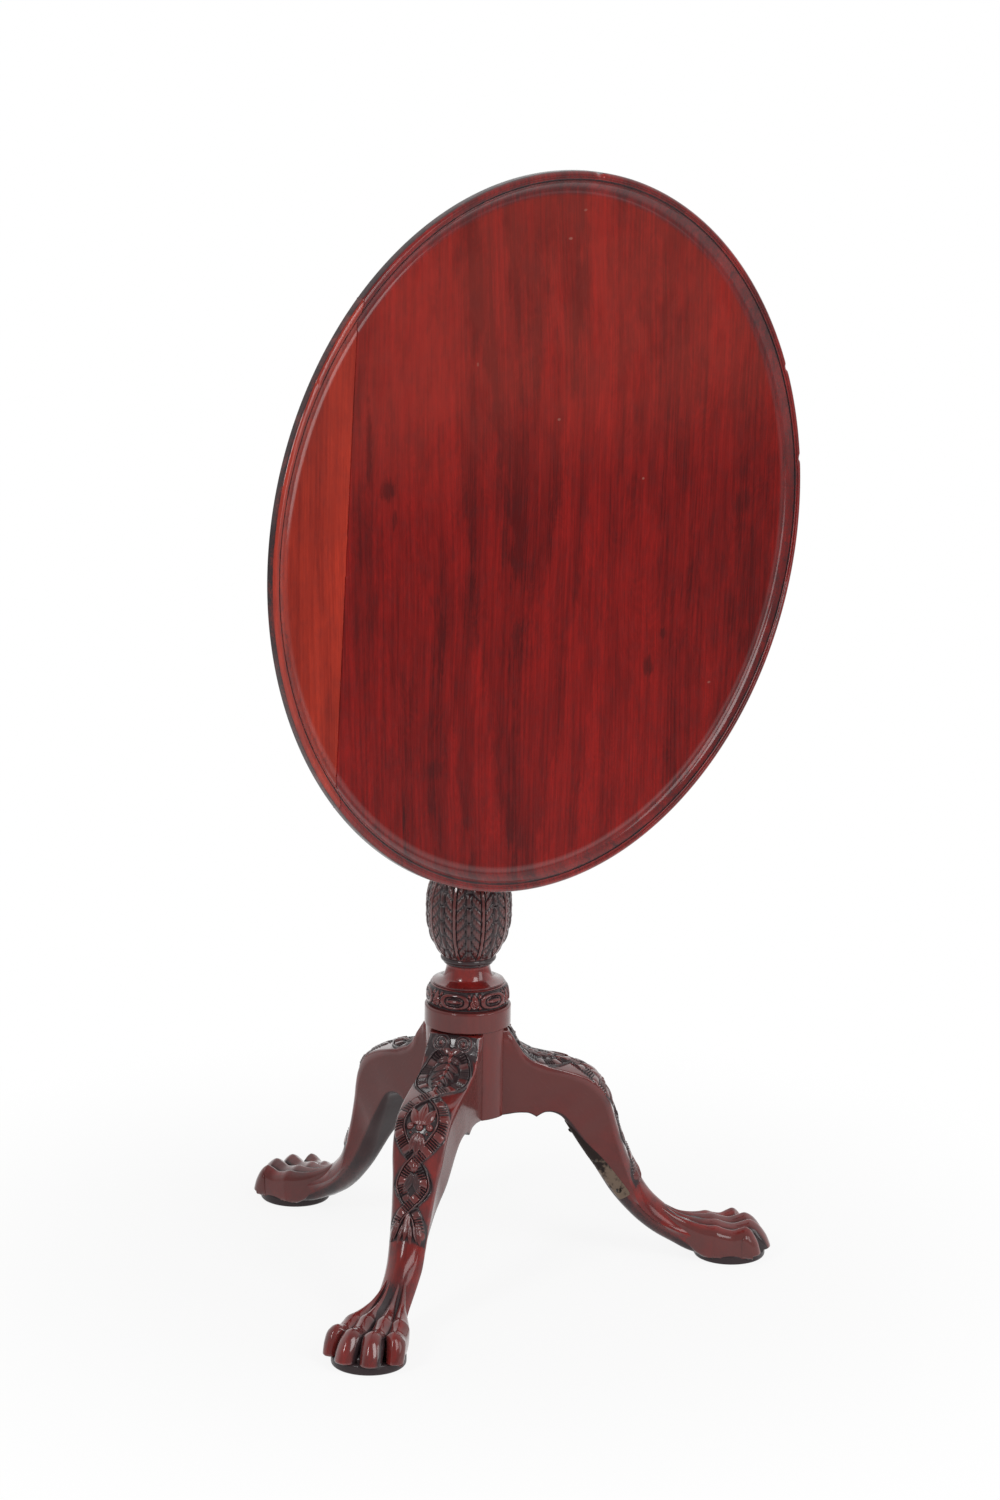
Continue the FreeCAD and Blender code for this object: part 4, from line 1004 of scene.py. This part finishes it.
def column_skin(settings, leg_turn):
    """The whole column as one shell, with flats where the legs stand."""
    rings = np.repeat(column_profile()[:, None], settings.columns, axis=1)
    radius, tall, worn, recess = np.moveaxis(rings, 2, 0)
    wide = np.broadcast_to(np.linspace(0, 2 * math.pi, settings.columns, endpoint=False), tall.shape)

    def carve(inside, height, wear, depth):
        flat = inside[:, 0]
        radius[flat] += (height[flat] - 0.8) * depth
        worn[flat] = wear[flat]
        recess[flat] = np.clip(1 - height[flat] * 2, 0, 1)

    share = np.clip((tall - URN_FOOT) / URN_HEIGHT, 0, 1)
    height, wear = urn_relief(wide, share, radius, settings)
    soft = ease(0.0, 0.02, share) * fade(0.98, 1.0, share)
    carve((tall > 326.5) & (tall < 425.6), height * soft + 0.8 * (1 - soft), wear, settings.leaf_relief / MM)
    on_band = (tall > 277.2) & (tall < 297.5)
    height, wear = band_relief(wide, tall - BAND_MIDDLE, radius, settings)
    carve(on_band, height, wear, settings.band_relief / MM)
    for _, azimuth in LEGS:
        cosine = np.cos(wide - math.radians(azimuth - 90) - leg_turn)
        flat = (tall < 256.0) & (cosine > 0.5)
        radius = np.where(flat, np.minimum(radius, (CORE_FLAT - 0.02) / np.clip(cosine, 0.5, 1)), radius)
    points = np.stack([radius * np.cos(wide), radius * np.sin(wide), tall], -1)
    # Haze on the core and drum, the urn and, less, the band: a painted reflection over grey old wax that
    # greys them.
    haze = 0.8 * (tall < 276.8) + 0.9 * (tall > 326) * (tall < 426) + 0.45 * on_band
    skin = Skin()
    skin.add_tube(points, worn=worn, recess=recess, shine=1 - 0.6 * haze * (tall < 300), haze=haze,
                  wood_place=points)
    return skin


# Top

TOP_RADIUS = 342.0
TOP_CENTRE = 758.7
TOP_BACK = -85.0
FACE_LEVEL = -97.0
SEAM_GROOVE = 0.7
NICKS = ((1.401, 0.011, 1.5), (0.379, 0.008, 1.2), (0.099, 0.007, 1.1), (2.6, 0.008, 0.8))


def top_profile():
    """Radius and depth from the back of the top's outline, from the back's middle to the face's."""
    outline = [(3.0, 0.0)] + [(r, 0.0) for r in np.linspace(30, 300, 10)] + [(314, 0.0), (316.5, 0.2)]
    outline += [(329, 6.2), (340.8, 11.9)] + arc_through((341.4, 12.2), (341.75, 12.6), (341.94, 13.2), 3)
    outline += [(341.94, 18.0)] + arc_through((341.94, 18.8), (341.0, 21.06), (338.8, 22.0), 8)
    outline += [(337.3, 22.0), (336.9, 21.8), (336.7, 21.2), (336.6, 20.8), (334.9, 20.8), (334.6, 20.6),
                (334.4, 19.6), (333.4, 19.6), (333.1, 20.1)]
    outline += arc_through((333.0, 20.3), (329.7, 16.2), (321.2, 14.5), 12)
    outline += [(318.0, 14.5)] + [(r, 14.5) for r in np.linspace(310, 10, 46)] + [(3.0, 14.5)]
    return np.array(outline)


def whole_top(settings):
    """The dished top as one closed shell before the seam divides it."""
    outline = top_profile()
    angle = np.linspace(0, 2 * math.pi, 720, endpoint=False)[None]
    r, d = outline[:, 0:1], outline[:, 1:2]
    flat = np.stack([r * np.cos(angle), r * np.sin(angle), d + np.zeros_like(angle)], -1)
    uneven = ripple(flat, 150.0, 4) * 0.6 + ripple(flat, 46.0, 9) * 0.25
    inside = fade(300, 334, r) * (d > 14)
    depth = flat[..., 2] + uneven * inside * settings.waviness / MM
    edge = ease(335, 340, r) * (d > 15)
    radius = r + np.minimum(ripple(flat, 9.0, 21) + 1.05, 0) * 0.8 * edge
    for place, wide, deep in NICKS:
        near = np.exp(-((angle - place) / wide) ** 2) * edge * deep
        radius = radius - near
        depth = depth - near
    points = np.stack([radius * np.cos(angle), TOP_BACK - depth, TOP_CENTRE + radius * np.sin(angle)], -1)
    groove = np.exp(-((r - 334.0) / 0.9) ** 2) * (d > 15) + 0.5 * np.exp(-((r - 337) / 0.6) ** 2) * (d > 20)
    cove = ease(319, 325, r) * fade(332, 334, r) * (d > 14)
    # Painted shade: the outer edge band gets less wear, so it shows the dark patina colour.
    outer_edge_shade = (d < 20.5) * (r > 340) * 0.75
    back = (d < 12) * (r < 341) * 0.5
    on_rim = ease(318.5, 321.5, r) * (d > 12)
    haze = 0.17 * ease(770, 930, points[..., 2]) * (1 - on_rim)
    skin = Skin()
    skin.add_tube(points, worn=0.92 + 0.1 * edge - 0.25 * cove - back - outer_edge_shade, recess=groove + 0.15 * cove,
                  shine=0.15 + 0.85 * on_rim, haze=haze, wood_place=points)
    return skin


def cut_board(whole, name, place, side, material, depth):
    """The top on one side of the seam, closed, with a small groove at it."""
    work = bmesh.new()
    work.from_mesh(whole.data)
    for offset, clear in ((0.0, True), (SEAM_GROOVE * MM, False)):
        cut = bmesh.ops.bisect_plane(work, geom=work.verts[:] + work.edges[:] + work.faces[:], dist=0.0000001,
                                     plane_co=place + side * offset, plane_no=side, clear_inner=clear)
        if clear:
            rim = [e for e in cut["geom_cut"] if isinstance(e, bmesh.types.BMEdge)]
            bmesh.ops.holes_fill(work, edges=rim, sides=0)
    for vert in work.verts:
        if abs((vert.co - place).dot(side)) < 0.00001 and vert.co.y < FACE_LEVEL * MM:
            vert.co.y += depth
    bmesh.ops.recalc_face_normals(work, faces=work.faces)
    return finished(linked(name, mesh_from(work, name)), material, 38)


# Repair strap, laid on the finished leg

STRAP_STATIONS = ((0.285, 0.600, -0.27, 60.0), (0.405, 0.430, -0.30, 36.0), (0.533, 0.272, -0.26, 22.0))
STRAP_SCREWS = (0.09, 0.48, 0.90)
RAY_START = 0.02


def strap_frames(shares, turn):
    """The strap's middle line at shares of its length, with its across and outward directions."""
    first, last = STRAP_STATIONS[0], STRAP_STATIONS[-1]
    along = Vector(((last[0] - first[0]) * LEG_RUN, 0, (last[1] - first[1]) * DRUM_BOTTOM)).normalized()
    under = Vector((along.z, 0, -along.x))
    beside = Vector((0, -1, 0))
    spin = Matrix.Rotation(turn, 3, "Z")
    for run, rise, side, roll in along_rows(STRAP_STATIONS, shares):
        angle = math.radians(roll)
        out = beside * math.cos(angle) + under * math.sin(angle)
        across = under * math.cos(angle) - beside * math.sin(angle)
        middle = Vector((CORE_FLAT + run * LEG_RUN, side * LEG_THICKNESS, rise * DRUM_BOTTOM)) * MM
        yield spin @ middle, spin @ across, spin @ out


def surface_tree(piece):
    """For finding where a line meets a piece."""
    mesh = piece.data
    return BVHTree.FromPolygons([v.co for v in mesh.vertices], [p.vertices for p in mesh.polygons])


def strap_skin(leg, turn, width=15.0, proud=0.9, rows=90, columns=17):
    """The strap's shell, which follows the leg's surface and stands a little proud of it."""
    tree = surface_tree(leg)
    upper, lower = np.empty((2, rows, columns, 3))
    shares = np.linspace(0, 1, rows)
    for i, (share, (middle, across, out)) in enumerate(zip(shares, strap_frames(shares, turn))):
        end = min(share, 1 - share) * 104.0
        rounded = math.sqrt(max(0.0, 1 - (1 - min(end / 6.0, 1)) ** 2))
        half = width / 2 * MM * (0.8 + 0.2 * rounded)
        for j, step in enumerate(np.linspace(-1, 1, columns)):
            place = middle + across * (step * half)
            hit, _, _, _ = tree.ray_cast(place + out * RAY_START, -out)
            surface = hit if hit is not None else place
            soft = 1 - ease(0.8, 1.0, abs(step)) * 0.8
            upper[i, j] = surface / MM + out * (proud * soft)
            lower[i, j] = surface / MM - out * 1.6
    settled = upper.copy()
    settled[1:-1] = (upper[:-2] + upper[2:] + 2 * upper[1:-1]) / 4
    skin = Skin()
    skin.add_tube(np.concatenate([settled, lower[:, ::-1]], axis=1), rubbed=shares[:, None])
    return skin


# Screws

def screw_tree():
    """Geometry nodes: a slotted countersunk screw on each point, pointing along the point's facing."""
    weave = Weave(bpy.data.node_groups.new("Slotted screws", "GeometryNodeTree"))
    weave.sockets("INPUT", [("Geometry", "Geometry")] + [(name, "Float") for name in SMALL_SCREW])
    weave.sockets("INPUT", [("Material", "Material")])
    weave.sockets("OUTPUT", [("Geometry", "Geometry")])
    given = weave.node("NodeGroupInput")
    tall, shank, deep = given["Head height"], given["Shank radius"], given["Length"]

    def moved(geometry, height):
        place = weave.node("ShaderNodeCombineXYZ", {"Z": height})[0]
        return weave.node("GeometryNodeTransform", {"Geometry": geometry, "Translation": place})[0]

    cone = weave.node("GeometryNodeMeshCone", {"Vertices": 40, "Radius Top": given["Head radius"],
                                               "Radius Bottom": shank, "Depth": tall})
    bar = weave.node("GeometryNodeMeshCylinder", {"Vertices": 24, "Radius": shank, "Depth": deep})
    size = weave.node("ShaderNodeCombineXYZ", {"X": given["Head radius"] * 3.0, "Y": given["Slot width"],
                                               "Z": given["Slot depth"] * 2.0})
    cutter = weave.node("GeometryNodeMeshCube", {"Size": size[0]})
    slotted = weave.node("GeometryNodeMeshBoolean", {"Mesh 1": moved(cone["Mesh"], tall * -1.0),
                                                     "Mesh 2": cutter["Mesh"]}, operation="DIFFERENCE")
    whole = weave.node("GeometryNodeJoinGeometry", {0: slotted["Mesh"]})
    weave.feed(moved(bar["Mesh"], deep * -0.5 - tall * 0.6), whole.inputs[0])
    facing = weave.node("GeometryNodeInputNamedAttribute", {"Name": "facing"}, data_type="FLOAT_VECTOR")
    spin = weave.node("GeometryNodeInputNamedAttribute", {"Name": "turned"}, data_type="FLOAT")
    aim = weave.node("FunctionNodeAlignRotationToVector", {"Vector": facing[0]}, axis="Z")
    about = weave.node("FunctionNodeAxisAngleToRotation", {"Axis": (0, 0, 1), "Angle": spin[0]})
    both = weave.node("FunctionNodeRotateRotation", {"Rotation": aim[0], "Rotate By": about[0]},
                      rotation_space="LOCAL")
    placed = weave.node("GeometryNodeInstanceOnPoints", {"Points": given["Geometry"], "Instance": whole[0],
                                                         "Rotation": both[0]})
    real = weave.node("GeometryNodeRealizeInstances", {"Geometry": placed[0]})
    dressed = weave.node("GeometryNodeSetMaterial", {"Geometry": real[0], "Material": given["Material"]})
    weave.node("NodeGroupOutput", {0: dressed[0]})


def screws(name, places, facings, material, sizes, seed):
    """One object with a screw at each place, whose slots are turned at random."""
    mesh = bpy.data.meshes.new(name)
    mesh.from_pydata([tuple(p) for p in places], [], [])
    set_mark(mesh, "facing", np.array([tuple(f) for f in facings]))
    set_mark(mesh, "turned", np.random.default_rng(seed).uniform(0, math.pi, len(places)))
    piece = linked(name, mesh)
    modifier = piece.modifiers.new("Screws", "NODES")
    modifier.node_group = bpy.data.node_groups["Slotted screws"]
    values = dict(sizes, Material=bpy.data.materials[material])
    for item in modifier.node_group.interface.items_tree:
        if item.in_out == "INPUT" and item.name in values:
            modifier[item.identifier] = values[item.name]
    plain_mesh(piece)
    return smoothed(piece, 35)


SMALL_SCREW = {"Head radius": 0.0029, "Head height": 0.0015, "Shank radius": 0.0014, "Length": 0.0075,
               "Slot width": 0.0008, "Slot depth": 0.0007}
LONG_SCREW = {"Head radius": 0.0046, "Head height": 0.0028, "Shank radius": 0.0022, "Length": 0.026,
              "Slot width": 0.0011, "Slot depth": 0.0010}


def inner_corners(node, inset, levels):
    """Places on the back of a set of screws' box: both sides, at shares of its height."""
    low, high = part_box(node)
    reach = high.z - low.z - 2 * inset
    return [Vector((x, high.y, low.z + inset + reach * level)) for x in (low.x + inset, high.x - inset)
            for level in levels]


# Operators

LAMPS = (("softbox left", -39.0, 0.8, 0.45, 0.8, 1.75), ("softbox right", 38.0, 1.15, 0.9, 1.5, 1.75),
         ("softbox low right", 64.0, 0.4, 0.7, 1.2, 0.95))
LAMP_DISTANCE = 2.3
LAMP_AIM = Vector((0, 0, 0.55))
FLOOR_HALF = 40.0
WHITE = (1, 1, 1, 1)


class TABLE_OT_stage(bpy.types.Operator):
    """Set up the camera, the floor and the studio's lamps"""
    bl_idname = "table.stage"
    bl_label = "Stage"

    def execute(self, context):
        settings = context.scene.table_stage
        self.camera(context, settings)
        self.floor(settings)
        self.world(context, settings)
        self.lamps(settings)
        return {"FINISHED"}

    def camera(self, context, settings):
        data = bpy.data.cameras.new("camera")
        data.sensor_fit = "VERTICAL"
        data.sensor_height = 36.0
        data.lens = settings.lens
        data.clip_end = 100.0
        yaw, pitch, roll = settings.camera_yaw, settings.camera_pitch, settings.camera_roll
        right = Vector((math.cos(yaw), -math.sin(yaw), 0))
        forward = Vector((math.sin(yaw) * math.cos(pitch), math.cos(yaw) * math.cos(pitch), -math.sin(pitch)))
        up = right.cross(forward)
        tilted_right = right * math.cos(roll) + up * math.sin(roll)
        tilted_up = up * math.cos(roll) - right * math.sin(roll)
        pose = Matrix((tilted_right, tilted_up, -forward)).transposed().to_4x4()
        pose.translation = Vector((0, -settings.camera_distance, settings.camera_height))
        camera = linked("camera", data)
        camera.matrix_world = Matrix.Rotation(settings.camera_turn, 4, "Z") @ pose
        context.scene.camera = camera

    def floor(self, settings):
        mesh = bpy.data.meshes.new("floor")
        corners = [(x * FLOOR_HALF, y * FLOOR_HALF, 0) for x, y in ((-1, -1), (1, -1), (1, 1), (-1, 1))]
        mesh.from_pydata(corners, [], [(0, 1, 2, 3)])
        material, weave, shader = new_material("pale floor")
        for key, value in (("Base Color", (0.92, 0.92, 0.92, 1)),
                           ("Roughness", 0.8), ("Specular IOR Level", 0.1)):
            shader.inputs[key].default_value = value
        away = weave.vector("LENGTH", weave.node("ShaderNodeTexCoord")["Object"])
        far = weave.span(away, 0.2, 0.8, 0.88, 1.0)
        reach = weave.span(away, settings.white_floor, settings.white_floor * 1.5,
                           1.0, settings.dim_side * 0.3)
        path = weave.node("ShaderNodeLightPath")
        seen = path["Is Camera Ray"] + path["Is Glossy Ray"] * reach
        seen = weave.sum("ADD", seen, path["Is Transmission Ray"], clamp=True)
        glow = weave.node("ShaderNodeEmission", {"Color": WHITE, "Strength": 1.0})
        both = weave.node("ShaderNodeMixShader", {0: far * seen, 1: shader[0], 2: glow[0]})
        weave.feed(both[0], material.node_tree.nodes["Material Output"].inputs["Surface"])
        mesh.materials.append(material)
        linked("floor", mesh)

    def world(self, context, settings):
        world = bpy.data.worlds.new("studio")
        context.scene.world = world
        world.use_nodes = True
        world.node_tree.nodes.clear()
        weave = Weave(world.node_tree)
        path = weave.node("ShaderNodeLightPath")
        seen = weave.sum("ADD", path["Is Camera Ray"] + path["Is Glossy Ray"], path["Is Transmission Ray"],
                         clamp=True)
        front = (math.cos(CAMERA_BEARING), math.sin(CAMERA_BEARING), 0.0)
        towards = weave.vector("DOT_PRODUCT", weave.node("ShaderNodeTexCoord")["Generated"], front)
        dimmed = weave.span(towards, -0.3, 0.45, 1.0, settings.dim_side)
        dimmed = weave.span(path["Is Glossy Ray"], 0.0, 1.0, 1.0, dimmed)
        strength = weave.span(seen, 0.0, 1.0, settings.room_light, 1.0) * dimmed
        glow = weave.node("ShaderNodeBackground", {"Color": WHITE, "Strength": strength})
        weave.node("ShaderNodeOutputWorld", {"Surface": glow[0]})
        context.scene.view_settings.view_transform = "Standard"

    def lamps(self, settings):
        for name, off, power, wide, tall, height in LAMPS:
            data = bpy.data.lights.new(name, "AREA")
            data.shape = "RECTANGLE"
            data.size = wide
            data.size_y = tall
            data.energy = settings.softbox_power * power
            angle = CAMERA_BEARING + math.radians(off)
            place = Vector((LAMP_DISTANCE * math.cos(angle), LAMP_DISTANCE * math.sin(angle), height))
            turned = (LAMP_AIM - place).to_track_quat("-Z", "Y").to_matrix().to_4x4()
            linked(name, data).matrix_world = Matrix.Translation(place) @ turned


class TABLE_OT_finishes(bpy.types.Operator):
    """Make the wood, brass, iron and steel finishes"""
    bl_idname = "table.finishes"
    bl_label = "Finishes"

    def execute(self, context):
        finish = context.scene.table_finish
        for made in (grain_group, patina_group, metal_group, mark_group):
            made()
        old = (finish.old_wood, finish.old_wood_dark)
        board = (finish.side_board, finish.side_board_dark)
        wood("carved mahogany", *old, 26.0, 0.2, 0.5, 0.75, 0.20, 0.12)
        wood("turned mahogany", *old, 22.0, 0.2, 0.35, 1.0, 0.17, 0.15)
        wood("polished mahogany", finish.mahogany, finish.mahogany_dark, 55.0, 0.55, 0.15, 0.9, 0.2, 0.05,
             on_face=True)
        wood("side board mahogany", *board, 30.0, 0.35, 0.15, 0.9, 0.2, 0.05)
        wood("block mahogany", *old, 35.0, 0.3, 0.6, 0.25, 0.34, 0.25, carved=False)
        wood("wedge wood", *board, 12.0, 0.1, 0.4, 0.1, 0.4, 0.2, carved=False)
        metal("bright brass", finish.brass, finish.tarnish, 0.35)
        metal("old brass", finish.old_brass, finish.old_tarnish, 0.45, 0.16, rubbed_end=True)
        metal("black iron", finish.iron, finish.rust, 0.7, 0.15)
        metal("spring steel", finish.steel, finish.dull_steel, 0.4)
        return {"FINISHED"}


class TABLE_OT_legs(bpy.types.Operator):
    """Make the three carved legs with their paws"""
    bl_idname = "table.legs"
    bl_label = "Legs"

    def execute(self, context):
        for node, azimuth in LEGS:
            leg = leg_skin(azimuth, context.scene.table_legs).make(node + "_carved", "carved mahogany")
            stands_for(leg, node, "stand")
        return {"FINISHED"}


class TABLE_OT_column(bpy.types.Operator):
    """Make the turned and carved column"""
    bl_idname = "table.column"
    bl_label = "Column"

    def execute(self, context):
        skin = column_skin(context.scene.table_column, context.scene.table_legs.turn)
        stands_for(skin.make("column_carved", "turned mahogany"), "column", "stand")
        return {"FINISHED"}


class TABLE_OT_top(bpy.types.Operator):
    """Make the two boards of the dished top"""
    bl_idname = "table.top"
    bl_label = "Top"

    def execute(self, context):
        settings = context.scene.table_top
        whole = whole_top(settings).make("whole top", "polished mahogany")
        side = Vector((-math.cos(settings.seam_lean), 0, math.sin(settings.seam_lean)))
        middle = Vector((0, TOP_BACK * MM, TOP_CENTRE * MM))
        seam = middle + side * (TOP_RADIUS * MM - settings.side_board_width)
        for node, way, finish, slot in (("top_side_board", side, "side board mahogany", "light_mahogany"),
                                        ("top_main_board", -side, "polished mahogany", "mahogany")):
            board = cut_board(whole, node + "_polished", seam, way, finish, settings.seam_depth)
            stands_for(board, node, "top")
        bpy.data.objects.remove(whole)
        return {"FINISHED"}


class TABLE_OT_woodwork(bpy.types.Operator):
    """Make the bearers, the block and the wedge"""
    bl_idname = "table.woodwork"
    bl_label = "Bearers, block and wedge"

    def execute(self, context):
        for node, body, finish, width, grain, slot in (
                ("bearer_left", "top", "block mahogany", 0.0012, [0, 1, 2], "mahogany"),
                ("bearer_right", "top", "block mahogany", 0.0012, [0, 1, 2], "mahogany"),
                ("pivot_block", "stand", "block mahogany", 0.0012, [1, 2, 0], "mahogany"),
                ("tenon_wedge", "stand", "wedge wood", 0.0002, [0, 1, 2], "light_mahogany")):
            stands_for(softened_copy(node, node + "_wood", finish, width, grain), node, body)
        return {"FINISHED"}


class TABLE_OT_metalwork(bpy.types.Operator):
    """Finish the catch and strike, and make the strap and all the screws"""
    bl_idname = "table.metalwork"
    bl_label = "Metalwork"

    def execute(self, context):
        for node in ("catch_plate", "catch_housing", "catch_bolt",
                     "catch_knob", "strike_plate", "catch_spring"):
            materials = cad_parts[node].data.materials
            materials.clear()
            materials.append(bpy.data.materials["spring steel" if node == "catch_spring" else "bright brass"])
        turn = math.radians(LEGS[1][1] - 90) + context.scene.table_legs.turn
        strap = strap_skin(bpy.data.objects["leg_front_right_carved"], turn)
        strap = strap.make("repair_strap_worn", "old brass", 35)
        stands_for(strap, "repair_strap", "stand")
        screw_tree()
        self.screw_sets(strap, turn)
        return {"FINISHED"}

    def screw_sets(self, strap, turn):
        """Places each set of screws from its CAD node's box."""
        small, long = SMALL_SCREW["Head radius"], LONG_SCREW["Head radius"]
        corners = inner_corners("catch_screws", small, (0, 1))
        strikes = inner_corners("strike_screws", small, (0.5,))
        bearers = inner_corners("bearer_screws", long, (0, 0.5, 1))
        tree = surface_tree(strap)
        strap_places, strap_facings = [], []
        for middle, _, out in strap_frames(STRAP_SCREWS, turn):
            hit, _, _, _ = tree.ray_cast(middle + out * RAY_START, -out)
            if hit is None:
                raise RuntimeError("a strap screw misses the strap")
            strap_places.append(hit + out * 0.0001)
            strap_facings.append(out)
        back = Vector((0, 1, 0))
        for name, places, facings, finish, sizes, body, slot in (
                ("catch_screws", corners, [back] * 4, "bright brass", SMALL_SCREW, "top", "brass"),
                ("strike_screws", strikes, [back] * 2, "bright brass", SMALL_SCREW, "stand", "brass"),
                ("bearer_screws", bearers, [back] * 6, "black iron", LONG_SCREW, "top", "iron"),
                ("strap_screws", strap_places, strap_facings, "black iron", SMALL_SCREW, "stand", "iron")):
            piece = screws(name + "_slotted", places, facings, finish, sizes, len(name))
            stands_for(piece, name, body)


class TABLE_PT_panel(bpy.types.Panel):
    """Lists the table's pieces and settings"""
    bl_idname = "TABLE_PT_panel"
    bl_label = "Tripod table"
    bl_space_type = "VIEW_3D"
    bl_region_type = "UI"
    bl_category = "Table"

    def draw(self, context):
        for operator in OPERATORS:
            self.layout.operator(operator.bl_idname)
        for name, kind in SETTINGS.items():
            box = self.layout.box()
            for key in kind.__annotations__:
                box.prop(getattr(context.scene, name), key)


SETTINGS = {"table_stage": StageSettings, "table_legs": LegSettings, "table_column": ColumnSettings,
            "table_top": TopSettings, "table_finish": FinishSettings}
OPERATORS = (TABLE_OT_stage, TABLE_OT_finishes, TABLE_OT_legs, TABLE_OT_column, TABLE_OT_top,
             TABLE_OT_woodwork, TABLE_OT_metalwork)


def register():
    for kind in tuple(SETTINGS.values()) + OPERATORS + (TABLE_PT_panel,):
        bpy.utils.register_class(kind)
    for name, kind in SETTINGS.items():
        setattr(bpy.types.Scene, name, PointerProperty(type=kind))


def unregister():
    for name in SETTINGS:
        delattr(bpy.types.Scene, name)
    for kind in (TABLE_PT_panel,) + OPERATORS + tuple(SETTINGS.values()):
        bpy.utils.unregister_class(kind)


def main():
    register()
    for operator in OPERATORS:
        getattr(bpy.ops.table, operator.bl_idname.split(".")[1])()


if __name__ == "__main__":
    main()
